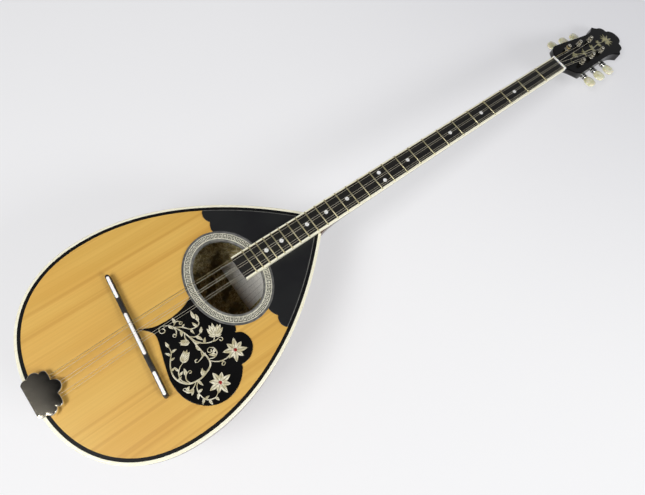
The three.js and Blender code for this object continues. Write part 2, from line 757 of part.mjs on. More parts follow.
// The fretboard's core between its bindings, with its frets
function fretboard() {
  const inner = FRETBOARD_BINDING_WIDTH + CLEARANCE;
  const core = slab(new THREE.Shape([
    new THREE.Vector2(-FRETBOARD_LENGTH, fretboardHalfWidth(-FRETBOARD_LENGTH) - inner),
    new THREE.Vector2(-FRETBOARD_LENGTH, inner - fretboardHalfWidth(-FRETBOARD_LENGTH)),
    new THREE.Vector2(-CLEARANCE, inner - fretboardHalfWidth(-CLEARANCE)),
    new THREE.Vector2(-CLEARANCE, fretboardHalfWidth(-CLEARANCE) - inner),
  ]), FRETBOARD_BOTTOM, FRETBOARD_TOP);
  const frets = Array.from({ length: FRET_COUNT }, (_, i) => {
    const x = fretX(i + 1);
    const section = [
      [x - FRET_WIDTH / 2, FRETBOARD_TOP - WELD],
      [x - FRET_WIDTH / 2, FRETBOARD_TOP + FRET_HEIGHT / 2],
      [x - FRET_CROWN_WIDTH / 2, FRETBOARD_TOP + FRET_HEIGHT],
      [x + FRET_CROWN_WIDTH / 2, FRETBOARD_TOP + FRET_HEIGHT],
      [x + FRET_WIDTH / 2, FRETBOARD_TOP + FRET_HEIGHT / 2],
      [x + FRET_WIDTH / 2, FRETBOARD_TOP - WELD],
    ];
    return crossBar(section, fretboardHalfWidth(x) - inner - FRET_END_INSET);
  });
  return join(core, frets);
}

// The fretboard's binding on the bass side
function fretboardBinding() {
  const shape = new THREE.Shape([
    new THREE.Vector2(-FRETBOARD_LENGTH, fretboardHalfWidth(-FRETBOARD_LENGTH) - FRETBOARD_BINDING_WIDTH),
    new THREE.Vector2(-CLEARANCE, fretboardHalfWidth(-CLEARANCE) - FRETBOARD_BINDING_WIDTH),
    new THREE.Vector2(-CLEARANCE, fretboardHalfWidth(-CLEARANCE)),
    new THREE.Vector2(-FRETBOARD_LENGTH, fretboardHalfWidth(-FRETBOARD_LENGTH)),
  ]);
  return slab(shape, FRETBOARD_BOTTOM, FRETBOARD_TOP);
}

// The nut, its top sloping down towards the head
function nut() {
  const section = [
    [0, FRETBOARD_BOTTOM],
    [0, NUT_TOP],
    [NUT_THICKNESS / 2, NUT_TOP],
    [NUT_THICKNESS, NUT_TOP - NUT_SLOPE_DROP],
    [NUT_THICKNESS, FRETBOARD_BOTTOM],
  ];
  return crossBar(section, fretboardHalfWidth(0));
}

// How deep the neck's wood is at a place
function neckDepth(x) {
  const share = -x / NECK_LENGTH;
  const plain = NECK_DEPTH_AT_NUT + (NECK_DEPTH_AT_BODY - NECK_DEPTH_AT_NUT) * share;
  const heelStart = JOINT_X + HEEL_LENGTH;
  const heelShare = Math.max((heelStart - x) / HEEL_LENGTH, 0);
  const heelDepth = BOWL_HEEL_DEPTH + NECK_TOP - RIM_Z - plain;
  return plain + heelDepth * heelShare ** HEEL_POWER;
}

// The neck and its heel; its head end is cut square to the pitched head
function neck() {
  const start = JOINT_X + CLEARANCE;
  const heelShares = [0, 0.12, 0.25, 0.4, 0.6, 0.8, 1];
  const stations = [
    ...heelShares.map((share) => start + share * HEEL_LENGTH),
    start + (NECK_LENGTH + HEEL_LENGTH) / 2,
    -NUT_THICKNESS,
    NUT_THICKNESS,
  ];
  const jointHalfWidth = halfWidthAt(JOINT_X, 0);
  const rings = stations.map((x, i) => {
    const board = fretboardHalfWidth(Math.min(x, 0));
    const heelShare = Math.max((start + HEEL_LENGTH - x) / HEEL_LENGTH, 0);
    const half = board + (jointHalfWidth - board) * heelShare ** HEEL_POWER;
    const shear = i === stations.length - 1 ? Math.tan(HEAD_PITCH) : 0;
    return Array.from({ length: NECK_SIDES + 1 }, (_, j) => {
      const angle = (Math.PI * j) / NECK_SIDES;
      const y = -half * signedPower(Math.cos(angle), 2 / NECK_SECTION_POWER);
      const drop = neckDepth(Math.min(x, 0)) * signedPower(Math.sin(angle), 2 / NECK_SECTION_POWER);
      return new THREE.Vector3(x - shear * drop, y, NECK_TOP - drop);
    });
  });
  return loft(rings);
}

// The bridge's own frame: on the soundboard, turned by its slant
function bridgeFrame() {
  const frame = new THREE.Group();
  frame.position.set(BRIDGE_X, 0, 0);
  frame.rotation.z = -BRIDGE_SLANT;
  return frame;
}

// A bar along Y with half-round ends
function roundEndedBar(from, to, width, bottom, top) {
  const radius = width / 2;
  const shape = new THREE.Shape();
  shape.moveTo(radius, from + radius);
  shape.lineTo(radius, to - radius);
  shape.absarc(0, to - radius, radius, 0, Math.PI, false);
  shape.lineTo(-radius, from + radius);
  shape.absarc(0, from + radius, radius, Math.PI, 2 * Math.PI, false);
  const geometry = new THREE.ExtrudeGeometry(shape, {
    depth: top - bottom, bevelEnabled: false, curveSegments: ARC_STEPS,
  });
  return geometry.translate(0, 0, bottom);
}

// The bridge's bar: three feet, and a seat for each of its three bone strips
function bridgeBase() {
  const half = BRIDGE_LENGTH / 2;
  const body = roundEndedBar(-half, half, BRIDGE_WIDTH, CLEARANCE, BRIDGE_TOP);
  const seatHalf = SADDLE_THICKNESS / 2 + CLEARANCE;
  const seatBottom = BRIDGE_TOP - BONE_SEAT_DEPTH - CLEARANCE;
  const seat = (from, to) => block(
    new THREE.Vector3(-seatHalf, from - CLEARANCE, seatBottom),
    new THREE.Vector3(seatHalf, to + CLEARANCE, BRIDGE_TOP + OVERRUN),
  );
  const arch = (from, to) => block(
    new THREE.Vector3(-BRIDGE_WIDTH, from, CLEARANCE - OVERRUN),
    new THREE.Vector3(BRIDGE_WIDTH, to, CLEARANCE + BRIDGE_ARCH),
  );
  const footHalf = BRIDGE_FOOT_LENGTH / 2;
  return cut(body, [
    seat(-SADDLE_LENGTH / 2, SADDLE_LENGTH / 2),
    seat(TIP_START, TIP_START + TIP_LENGTH),
    seat(-TIP_START - TIP_LENGTH, -TIP_START),
    arch(footHalf, half - BRIDGE_FOOT_LENGTH),
    arch(BRIDGE_FOOT_LENGTH - half, -footHalf),
  ]);
}

// A bone strip in the bridge's bar
function boneStrip(from, to, rise) {
  const bottom = BRIDGE_TOP - BONE_SEAT_DEPTH;
  return roundEndedBar(from, to, SADDLE_THICKNESS, bottom, BRIDGE_TOP + rise);
}

// The head's plan, from the nut to its scalloped top
function headShape() {
  const place = ([along, across]) => new THREE.Vector2(along * HEAD_LENGTH, (across * HEAD_WIDTH) / 2);
  const edge = HEAD_SHARES.map(place);
  let from = edge[edge.length - 1];
  const top = [];
  for (const [along, across, bulge] of HEAD_SCALLOP_SHARES) {
    const cusp = place([along, across]);
    top.push(...arcPoints(from, cusp, bulge));
    from = cusp;
  }
  const bass = [...edge, ...top];
  const treble = bass.slice(0, -1).map(flip).reverse();
  return new THREE.Shape([...bass, ...treble]);
}

// The frame of one row of machines: X along the row, Y out of the head; side is 1 for bass
function machineFrame(side) {
  const frame = new THREE.Group();
  frame.position.set(0, side * POST_LINE_OFFSET, 0);
  frame.rotation.z = -side * MACHINE_TOE;
  return frame;
}

const postX = (number) => POST_FIRST + number * POST_PITCH;

// The holes for the posts, through the wood or the overlay of the head
function postHoles(bottom, top) {
  const holes = [];
  for (const side of [1, -1]) {
    const frame = machineFrame(side);
    frame.updateMatrix();
    for (let i = 0; i < POSTS_A_SIDE; i++) {
      const hole = bar(POST_RADIUS + CLEARANCE, bottom - OVERRUN, top + OVERRUN);
      holes.push(hole.translate(postX(i), 0, 0).applyMatrix4(frame.matrix));
    }
  }
  return holes;
}

// A pan-headed screw that points up Z, its head's seat at height 0
function screw({ shankRadius, headRadius, headHeight, length }) {
  return turned([
    [0, -headHeight],
    [headRadius / 2, -headHeight],
    [headRadius, -headHeight / 2],
    [headRadius, 0],
    [shankRadius, 0],
    [shankRadius, length - 2 * shankRadius],
    [0, length],
  ], SHAFT_SIDES);
}

// The room that a screw's shank needs
function screwHole({ shankRadius, length }) {
  return bar(shankRadius + CLEARANCE, -CLEARANCE, length + CLEARANCE, SHAFT_SIDES);
}

// The screws of one row of machines, placed in its frame
const plateScrewPlaces = () => [
  postX(0) - PLATE_MARGIN + PLATE_SCREW.margin,
  postX(POSTS_A_SIDE - 1) + WORM_OFFSET + PLATE_MARGIN - PLATE_SCREW.margin,
];

// A screw, or its hole, of the plates at a place in a row's frame
const atPlate = (geometry, x) => geometry.translate(x, 0, PLATE_TOP - PLATE_THICKNESS - CLEARANCE);

// The plate screws' holes in the head's wood
function plateScrewHoles() {
  return [1, -1].flatMap((side) => {
    const frame = machineFrame(side);
    frame.updateMatrix();
    return plateScrewPlaces().map((x) => atPlate(screwHole(PLATE_SCREW), x).applyMatrix4(frame.matrix));
  });
}

// A screw, or its hole, of the tailpiece, on the bass or the treble side of the centre line
function atTail(geometry, side) {
  return geometry
    .rotateY(Math.PI / 2)
    .translate(TAIL_PLATE_X - CLEARANCE, (side * TAIL_SCREW_PITCH) / 2, -TAIL_SCREW_DROP);
}

const tailScrewHoles = () => [1, -1].map((side) => atTail(screwHole(TAIL_SCREW), side));

// The worm wheel on the lower end of a post
function wormWheel() {
  const points = [];
  for (let i = 0; i < 2 * WHEEL_TEETH; i++) {
    const radius = i % 2 === 0 ? WHEEL_RADIUS : WHEEL_RADIUS - WHEEL_TOOTH_DEPTH;
    const angle = (Math.PI * i) / WHEEL_TEETH;
    points.push(new THREE.Vector2(radius * Math.cos(angle), radius * Math.sin(angle)));
  }
  return slab(new THREE.Shape(points), WORM_DEPTH - WHEEL_THICKNESS / 2, WORM_DEPTH + WHEEL_THICKNESS / 2);
}

// A string post with its wheel
function tunerPost() {
  const foot = WORM_DEPTH - WHEEL_THICKNESS / 2 - PLATE_THICKNESS;
  const top = OVERLAY_TOP + POST_HEIGHT;
  const waist = POST_RADIUS - POST_WAIST_DEPTH;
  const post = turned([
    [0, foot],
    [POST_TIP_RADIUS, foot],
    [POST_TIP_RADIUS, WORM_DEPTH],
    [POST_RADIUS, WORM_DEPTH],
    [POST_RADIUS, OVERLAY_TOP + WINDING_HEIGHT / 2],
    [waist, OVERLAY_TOP + WINDING_HEIGHT],
    [waist, top - WINDING_HEIGHT],
    [POST_RADIUS, top - POST_TIP_HEIGHT],
    [POST_TIP_RADIUS, top],
    [0, top],
  ], ROUND_SIDES);
  return join(post, [wormWheel()]);
}

// A key: its worm, its journals in the plate's lugs, and its shaft out to the button; along +Y
function tunerKey() {
  const half = WORM_LENGTH / 2;
  const ridge = WORM_LENGTH / (2 * WORM_RIDGES);
  const inner = -half - CLEARANCE - LUG_THICKNESS - CLEARANCE;
  const profile = [[0, inner], [JOURNAL_RADIUS, inner], [JOURNAL_RADIUS, -half]];
  for (let i = 0; i < WORM_RIDGES; i++) {
    profile.push([WORM_ROOT_RADIUS, -half + 2 * i * ridge]);
    profile.push([WORM_RADIUS, -half + (2 * i + 1) * ridge]);
  }
  const collar = half + 2 * CLEARANCE + LUG_THICKNESS;
  profile.push([WORM_ROOT_RADIUS, half], [JOURNAL_RADIUS, half], [JOURNAL_RADIUS, collar]);
  profile.push([SHAFT_COLLAR_RADIUS, collar], [SHAFT_COLLAR_RADIUS, collar + SHAFT_COLLAR_LENGTH]);
  profile.push([JOURNAL_RADIUS, collar + SHAFT_COLLAR_LENGTH], [JOURNAL_RADIUS, SHAFT_REACH]);
  profile.push([0, SHAFT_REACH]);
  return turned(profile, SHAFT_SIDES).rotateX(-Math.PI / 2);
}

// A pearl button: a flat oval that grows out of a round neck; along +Y from the shaft's end
function tunerButton() {
  const start = SHAFT_REACH + CLEARANCE;
  const shares = [[0, 0], [0.08, 0.34], [0.25, 0.78], [0.5, 1], [0.75, 0.86], [0.93, 0.5], [1, 0.12]];
  const rings = shares.map(([along, fullness]) => {
    const halfWide = BUTTON_NECK_RADIUS + (BUTTON_WIDTH / 2 - BUTTON_NECK_RADIUS) * fullness;
    const halfThick = BUTTON_NECK_RADIUS + (BUTTON_THICKNESS / 2 - BUTTON_NECK_RADIUS) * fullness;
    return Array.from({ length: BUTTON_SIDES }, (_, j) => {
      const angle = (-2 * Math.PI * j) / BUTTON_SIDES;
      return new THREE.Vector3(
        halfWide * Math.cos(angle), start + along * BUTTON_LENGTH, halfThick * Math.sin(angle),
      );
    });
  });
  return loft(rings);
}

// The plate that carries one row of machines; side is 1 for bass
function machinePlate(side) {
  const bottom = PLATE_TOP - PLATE_THICKNESS;
  const span = (a, b) => [Math.min(side * a, side * b), Math.max(side * a, side * b)];
  const [plateLow, plateHigh] = span(-PLATE_INNER_WIDTH, PLATE_OUTER_WIDTH);
  const plate = block(
    new THREE.Vector3(postX(0) - PLATE_MARGIN, plateLow, bottom),
    new THREE.Vector3(postX(POSTS_A_SIDE - 1) + WORM_OFFSET + PLATE_MARGIN, plateHigh, PLATE_TOP),
  );
  const lugs = [];
  const holes = plateScrewPlaces().map((x) => atPlate(screwHole(PLATE_SCREW), x));
  const lugStart = WORM_LENGTH / 2 + CLEARANCE;
  for (let i = 0; i < POSTS_A_SIDE; i++) {
    const wormX = postX(i) + WORM_OFFSET;
    for (const end of [1, -1]) {
      const [low, high] = span(end * lugStart, end * (lugStart + LUG_THICKNESS));
      lugs.push(block(
        new THREE.Vector3(wormX - LUG_WIDTH / 2, low, WORM_DEPTH - WORM_RADIUS),
        new THREE.Vector3(wormX + LUG_WIDTH / 2, high, bottom + WELD),
      ));
    }
    const reach = lugStart + LUG_THICKNESS + OVERRUN;
    const journal = bar(JOURNAL_RADIUS + CLEARANCE, -reach, reach, SHAFT_SIDES).rotateX(Math.PI / 2);
    holes.push(journal.translate(wormX, 0, WORM_DEPTH));
    const post = bar(POST_RADIUS + PLATE_HOLE_CLEARANCE, bottom - OVERRUN, PLATE_TOP + OVERRUN);
    holes.push(post.translate(postX(i), 0, 0));
  }
  return cut(join(plate, lugs), holes);
}

// The tailpiece base: a plate on the soundboard with six hooks, bent down over the tail
function tailpieceBase() {
  const frontX = TAIL_PLATE_X + TAILPIECE_BASE_LENGTH;
  const top = TAIL_PLATE_TOP;
  const halfWidth = TAILPIECE_BASE_WIDTH / 2;
  const dropHalf = TAILPIECE_DROP_WIDTH / 2;
  const flat = block(
    new THREE.Vector3(TAIL_PLATE_X, -halfWidth, CLEARANCE),
    new THREE.Vector3(frontX, halfWidth, top),
  );
  const drop = block(
    new THREE.Vector3(TAIL_PLATE_X, -dropHalf, -TAILPIECE_DROP),
    new THREE.Vector3(TAIL_PLATE_X + TAILPIECE_PLATE, dropHalf, top - WELD),
  );
  const hooks = stringNumbers.map((number) => {
    const y = courseY(number, HOOK_COURSE_PITCH, HOOK_PAIR_PITCH);
    return block(
      new THREE.Vector3(HOOK_X - HOOK_WIDTH, y - HOOK_WIDTH / 2, top - WELD),
      new THREE.Vector3(HOOK_X, y + HOOK_WIDTH / 2, top + HOOK_HEIGHT),
    );
  });
  return cut(join(flat, [drop, ...hooks]), tailScrewHoles());
}

// The tailpiece cover's plan, drawn smaller on all sides but its rear
function coverShape(inset) {
  const rear = TAIL_X - COVER_OVERHANG;
  const place = ([along, across]) =>
    new THREE.Vector2(rear + along * (COVER_LENGTH - inset), across * (COVER_WIDTH / 2 - inset));
  const bassSide = COVER_REAR_SHARES.map(place);
  let from = bassSide[bassSide.length - 1];
  const lobes = COVER_LOBE_SHARES.map((share) => {
    const corner = place(share);
    const points = arcPoints(from, corner, share[2]);
    from = corner;
    return points;
  });
  const front = lobes.pop();
  bassSide.push(...lobes.flat());
  return new THREE.Shape([...bassSide, ...front, ...bassSide.slice(0, -1).map(flip).reverse()]);
}

// The scalloped cover: a crowned sheet with a skirt, open behind and where the strings leave it
function tailpieceCover() {
  const bottom = CLEARANCE + COVER_SKIRT_GAP;
  const top = COVER_HEIGHT;
  const whole = slab(coverShape(0), bottom, top);
  const crown = slab(coverShape(COVER_CROWN), top - WELD, top + COVER_SHEET);
  const rear = TAIL_X - COVER_OVERHANG;
  const front = rear + COVER_LENGTH;
  const hollow = slab(coverShape(COVER_SHEET), bottom - OVERRUN, top - COVER_SHEET);
  const behind = block(
    new THREE.Vector3(rear - OVERRUN, -TAILPIECE_BASE_WIDTH / 2 - CLEARANCE, bottom - OVERRUN),
    new THREE.Vector3(rear + COVER_OVERHANG, TAILPIECE_BASE_WIDTH / 2 + CLEARANCE, top - COVER_SHEET),
  );
  const mouthTop = STRING_LOOP_Z + TAIL_SLOPE * (front - HOOK_X) + COVER_STRING_ROOM;
  const mouthHalf = courseY(0, HOOK_COURSE_PITCH, HOOK_PAIR_PITCH) + COVER_STRING_ROOM;
  const mouth = block(
    new THREE.Vector3(HOOK_X, -mouthHalf, bottom - OVERRUN),
    new THREE.Vector3(front + OVERRUN, mouthHalf, mouthTop),
  );
  return cut(join(whole, [crown]), [hollow, behind, mouth]);
}

// A string's place across the neck, from the pitch of the courses and of the pair in each; strings
// are counted from the bass side
function courseY(number, coursePitch, pairPitch) {
  const course = Math.floor(number / 2);
  const inPair = number % 2;
  return ((COURSES - 1) / 2 - course) * coursePitch + (0.5 - inPair) * pairPitch;
}

// The head's frame: its wood's top face at the nut, pitched back
function headFrame() {
  const frame = new THREE.Group();
  frame.position.set(HEAD_START_X, 0, HEAD_START_Z);
  frame.rotation.y = HEAD_PITCH;
  return frame;
}

// Which side and place a string's post has: outer strings go to the posts nearest the nut
function postOf(number) {
  const side = number < POSTS_A_SIDE ? 1 : -1;
  const place = side === 1 ? number : STRING_COUNT - 1 - number;
  return { side, place };
}

// A string's route: from its hook over the saddle and the nut to its windings round its post
function stringRoute(number) {
  const radius = STRING_DIAMETERS[number] / 2;
  const lift = CLEARANCE + radius;
  const hook = new THREE.Vector3(
    HOOK_X + CLEARANCE,
    courseY(number, HOOK_COURSE_PITCH, HOOK_PAIR_PITCH),
    STRING_LOOP_Z,
  );
  const bridgeY = courseY(number, BRIDGE_COURSE_PITCH, BRIDGE_PAIR_PITCH);
  const saddle = new THREE.Vector3(BRIDGE_X + bridgeY * Math.tan(BRIDGE_SLANT), bridgeY, SADDLE_TOP + lift);
  const nutY = courseY(number, NUT_COURSE_PITCH, NUT_PAIR_PITCH);
  const nutFront = new THREE.Vector3(0, nutY, NUT_TOP + lift);
  const nutBack = new THREE.Vector3(NUT_THICKNESS / 2, nutY, NUT_TOP + lift);
  const { side, place } = postOf(number);
  const head = headFrame();
  const row = machineFrame(side);
  head.add(row);
  head.updateMatrixWorld(true);
  const local = row.worldToLocal(nutBack.clone());
  const away = new THREE.Vector2(local.x - postX(place), side * local.y);
  const wrapRadius = POST_RADIUS + CLEARANCE + radius;
  const start = Math.atan2(away.y, away.x) + Math.acos(wrapRadius / away.length());
  const windings = Array.from({ length: WINDING_TURNS * WINDING_STEPS + 1 }, (_, i) => {
    const turns = i / WINDING_STEPS;
    const angle = start + 2 * Math.PI * turns;
    const point = new THREE.Vector3(
      postX(place) + wrapRadius * Math.cos(angle),
      side * wrapRadius * Math.sin(angle),
      OVERLAY_TOP + WINDING_HEIGHT + WINDING_PITCH * turns,
    );
    return row.localToWorld(point);
  });
  return { points: [hook, saddle, nutFront, nutBack, ...windings], windings, radius };
}

// The least gap between the turns of a winding, measured between points most of a turn apart
function windingGap({ windings, radius }) {
  let least = Infinity;
  for (let i = 0; i < windings.length; i++) {
    for (let j = i + WINDING_STEPS / 2; j < windings.length; j++) {
      least = Math.min(least, windings[i].distanceTo(windings[j]) - 2 * radius);
    }
  }
  return least;
}

const instrument = new THREE.Group();
const neckBlockStation = stationAt(JOINT_X - NECK_BLOCK_LENGTH);
const tailBlockStation = stationAt(TAIL_X + TAIL_BLOCK_LENGTH);

// Body
const bowl = addPart(instrument, "bowl", cut(bowlShell(), tailScrewHoles()), walnut);
addPart(instrument, "neck_block", bowlFiller(neckBlockStation, BOWL_STEPS), innerWood);
const tailBlock = cut(bowlFiller(0, tailBlockStation), tailScrewHoles());
addPart(instrument, "tail_block", tailBlock, innerWood);
const bassLining = lining(tailBlockStation + LINING_END_STATIONS, neckBlockStation - LINING_END_STATIONS);
addPart(instrument, "lining_bass", bassLining, innerWood);
addPart(instrument, "lining_treble", mirrored(bassLining), innerWood);
const holeEdge = HOLE_LENGTH / 2 + BRACE_WIDTH;
const bracePlaces = [HOLE_X + holeEdge, HOLE_X - holeEdge, BRIDGE_X - TAIL_BRACE_TO_BRIDGE];
bracePlaces.forEach((x, i) => addPart(instrument, `brace_${i + 1}`, brace(x), innerWood));
addPart(instrument, "soundboard", soundboard(), spruce);
const bindingBand = bandShape(0, BINDING_WIDTH, BOARD_FRONT_X);
addPart(instrument, "body_binding", slab(bindingBand, -BOARD_THICKNESS, 0), ivoroid);
const purflingBand = bandShape(BOARD_INSET, BOARD_INSET + PURFLING_WIDTH, BOARD_FRONT_X);
addPart(instrument, "body_purfling", slab(purflingBand, -PURFLING_DEPTH, 0), blackWood);
addPart(instrument, "sound_hole_ring", soundHoleRing(), silverTrim);
addPart(instrument, "upper_guard", upperGuard(), blackLacquer);
addPart(instrument, "pickguard", pickguard(), blackLacquer);
addPart(instrument, "label", label(), paper);

// Neck, fretboard and nut
addPart(instrument, "neck", neck(), walnut);
addPart(instrument, "fretboard", fretboard(), blackWood);
addPart(instrument, "fretboard_binding_bass", fretboardBinding(), ivoroid);
addPart(instrument, "fretboard_binding_treble", mirrored(fretboardBinding()), ivoroid);
addPart(instrument, "nut", nut(), bone);

// Bridge
const bridge = bridgeFrame();
instrument.add(bridge);
addPart(bridge, "bridge_base", bridgeBase(), blackWood);
addPart(bridge, "bridge_saddle", boneStrip(-SADDLE_LENGTH / 2, SADDLE_LENGTH / 2, SADDLE_RISE), bone);
addPart(bridge, "bridge_tip_bass", boneStrip(TIP_START, TIP_START + TIP_LENGTH, TIP_RISE), bone);
addPart(bridge, "bridge_tip_treble", boneStrip(-TIP_START - TIP_LENGTH, -TIP_START, TIP_RISE), bone);

// Headstock and tuning machines
const head = headFrame();
instrument.add(head);
const headWood = slab(headShape(), -HEAD_THICKNESS, 0);
const headHoles = [...postHoles(-HEAD_THICKNESS, 0), ...plateScrewHoles()];
addPart(head, "headstock", cut(headWood, headHoles), blackWood);
const overlayPlate = slab(headShape(), CLEARANCE, OVERLAY_TOP);
addPart(head, "head_overlay", cut(overlayPlate, postHoles(CLEARANCE, OVERLAY_TOP)), blackLacquer);
for (const [side, sideName] of [[1, "bass"], [-1, "treble"]]) {
  const row = machineFrame(side);
  head.add(row);
  addPart(row, `tuner_plate_${sideName}`, machinePlate(side), chrome);
  plateScrewPlaces().forEach((x, i) => {
    addPart(row, `tuner_plate_screw_${sideName}_${i + 1}`, atPlate(screw(PLATE_SCREW), x), steel);
  });
  for (let i = 0; i < POSTS_A_SIDE; i++) {
    const post = addPart(row, `tuner_post_${sideName}_${i + 1}`, tunerPost(), chrome);
    post.position.x = postX(i);
    const key = new THREE.Group();
    key.position.set(postX(i) + WORM_OFFSET, 0, WORM_DEPTH);
    key.rotation.z = side === 1 ? 0 : Math.PI;
    row.add(key);
    addPart(key, `tuner_key_${sideName}_${i + 1}`, tunerKey(), chrome);
    addPart(key, `tuner_button_${sideName}_${i + 1}`, tunerButton(), pearlButton);
  }
}

// Tailpiece
addPart(instrument, "tailpiece_base", tailpieceBase(), chrome);
addPart(instrument, "tailpiece_cover", tailpieceCover(), chrome);
addPart(instrument, "tailpiece_screw_bass", atTail(screw(TAIL_SCREW), 1), steel);
addPart(instrument, "tailpiece_screw_treble", atTail(screw(TAIL_SCREW), -1), steel);

// Strings
const routes = stringNumbers.map(stringRoute);
routes.forEach((route, i) => {
  const material = i === 0 ? bronzeWound : steel;
  addPart(instrument, `string_${i + 1}`, tube(route.points, route.radius, STRING_SIDES), material);
});
console.log("least gap in a winding", Math.min(...routes.map(windingGap)).toFixed(2), "mm");

// All corners of the meshes in a group, in the frame of the instrument
function cornersOf(object) {
  instrument.updateMatrixWorld(true);
  const corners = [];
  object.traverse((mesh) => {
    if (mesh.isMesh) {
      const position = mesh.geometry.getAttribute("position");
      for (let i = 0; i < position.count; i++) {
        corners.push(new THREE.Vector3().fromBufferAttribute(position, i).applyMatrix4(mesh.matrixWorld));
      }
    }
  });
  return corners;
}

// How far the face tips towards the head when the bowl and the head both touch the table
function restTilt() {
  const bowlCorners = cornersOf(bowl);
  const headCorners = cornersOf(head);
  const lowest = (corners, tilt) => corners.reduce(
    (least, corner) => Math.min(least, corner.z * Math.cos(tilt) - corner.x * Math.sin(tilt)), Infinity,
  );
  let low = 0;
  let high = Math.PI / 4;
  for (let i = 0; i < SEARCH_ROUNDS; i++) {
    const middle = (low + high) / 2;
    if (lowest(bowlCorners, middle) < lowest(headCorners, middle)) {
      low = middle;
    } else {
      high = middle;
    }
  }
  return low;
}

// The instrument as it lies: the origin is under the middle of its box, on the table
const bouzouki = new THREE.Group();
const tilt = restTilt();
instrument.rotation.y = tilt;
bouzouki.add(instrument);
bouzouki.updateMatrixWorld(true);
const box = new THREE.Box3().setFromObject(bouzouki, true);
const middle = box.getCenter(new THREE.Vector3());
instrument.position.set(-middle.x, -middle.y, -box.min.z);
console.log("rest tilt", THREE.MathUtils.radToDeg(tilt).toFixed(4), "degrees, nut at",
  instrument.position.toArray().map((value) => value.toFixed(3)).join(", "));

export default bouzouki;
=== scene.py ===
import math

import bmesh
import bpy
import numpy as np
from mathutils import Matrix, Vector
from mathutils.geometry import tessellate_polygon


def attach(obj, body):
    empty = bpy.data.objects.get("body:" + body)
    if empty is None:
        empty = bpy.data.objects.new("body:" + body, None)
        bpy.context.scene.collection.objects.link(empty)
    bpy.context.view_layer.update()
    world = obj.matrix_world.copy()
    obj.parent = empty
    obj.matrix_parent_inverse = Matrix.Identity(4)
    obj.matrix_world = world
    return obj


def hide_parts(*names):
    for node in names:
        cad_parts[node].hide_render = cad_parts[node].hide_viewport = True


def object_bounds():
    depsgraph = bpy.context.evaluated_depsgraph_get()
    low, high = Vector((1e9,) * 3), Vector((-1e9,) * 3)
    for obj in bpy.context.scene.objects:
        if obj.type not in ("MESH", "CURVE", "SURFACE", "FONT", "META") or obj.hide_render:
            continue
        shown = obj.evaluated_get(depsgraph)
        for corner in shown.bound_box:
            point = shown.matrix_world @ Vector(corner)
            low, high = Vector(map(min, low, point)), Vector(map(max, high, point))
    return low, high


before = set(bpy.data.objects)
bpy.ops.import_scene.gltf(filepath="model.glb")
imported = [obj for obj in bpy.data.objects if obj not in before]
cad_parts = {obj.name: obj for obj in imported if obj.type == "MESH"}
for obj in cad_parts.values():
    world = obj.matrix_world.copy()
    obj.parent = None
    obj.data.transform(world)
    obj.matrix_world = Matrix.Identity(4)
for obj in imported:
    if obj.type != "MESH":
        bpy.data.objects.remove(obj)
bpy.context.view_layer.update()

MM = 0.001

# Strings and frets
SCALE_LENGTH = 670
FRETS_AN_OCTAVE = 12
FRET_COUNT = 26
COURSES = 3
NUT_PITCHES = (8.7, 2)
BRIDGE_PITCHES = (11.2, 2.8)
HOOK_PITCHES = (11.6, 3.6)
STRING_DIAMETERS = (0.6, 0.4, 0.44, 0.44, 0.36, 0.36)
STRING_LIFT = 0.3
STRING_OVER_BOARD = 1.2
SADDLE_SEAT = 11.1
EYE_HALF_SIZES = (1.5, 1.1)
TWIST_START = 0.5
TWIST_LENGTH = 8
TWIST_TURNS = 9
TWIST_SPREAD = 1.05
TWIST_THINNING = 0.8
WRAP_GAP = 0.02

# Gaps between seated pieces, and how far let-in pieces reach under the surface
SEAT_GAP = 0.3
SUNK = 0.2

# Body
BODY_WIDTH = 263
BODY_DEPTH = 140
TAIL_REACH = 111.5
ROUND_LENGTH = 127
BOWL_HEEL_DEPTH = 42
BOWL_WALL = 2.6
STAVE_COUNT = 21
STAVE_FLATNESS = 0.22
BOARD_THICKNESS = 3
BOARD_EDGE = 0.08
BINDING_WIDTH = 3.4
BINDING_ROUND = 1.3
PURFLING_WIDTH = 3.8
PURFLING_DEPTH = 1
GUARD_LINE_WIDTH = 0.9
GUARD_LINE_TOP = 0.35

# Sound hole, ring, guards and label
HOLE_TO_BOARD_END = 14.7
HOLE_TO_JOINT = 118.7
HOLE_LENGTH = 71.4
HOLE_WIDTH = 94.6
RING_BAND = 12
RING_OUTER_RIM = 2.5
RING_INNER_RIM = 2.2
RING_BAND_TOP = 0.9
RING_RIM_TOP = 1.3
RING_BAND_EDGE = 0.05
RING_RIM_EDGE = 0.5
RING_SLEEVE = 0.3
MEANDER_UNITS = 56
MEANDER_WIDTH = 0.8
MEANDER_MARGIN = 1.45
MEANDER_RISE = 0.05
GUARD_TOP = 1.1
GUARD_EDGE = 0.35
UPPER_GUARD_TO_HOLE = 20.2
PICKGUARD_TO_BRIDGE = 4.8
PICKGUARD_TO_EDGE = 20.5
LABEL_TO_HOLE = 64.7
LABEL_LENGTH = 50
LABEL_WIDTH = 58
LABEL_OFFSET = 13
LABEL_THICKNESS = 0.5

# Inlays
STEM_HALF_WIDTH = 0.62
STEM_END_HALF_WIDTH = 0.3
MAIN_STEM_HALF_WIDTH = 0.9
HEAD_STEM_HALF_WIDTH = 0.75
STEM_POWER = 0.6
LEAF_SKEW = 0.72
LEAF_POWER = 0.85
LEAF_TIP = 0.08
CURL_CLOSING = 0.78
CURL_SWELLING = 0.42
CURL_EYE = 0.5
CURL_EYE_SHARE = 0.06
INLAY_RISE = 0.12
INLAY_STEP = 0.012
PETAL_COUNT = 8
PETAL_LENGTH = 9.4
PETAL_HALF_WIDTH = 2.25
PETAL_START = 1.2
PETAL_BEND = 0.06
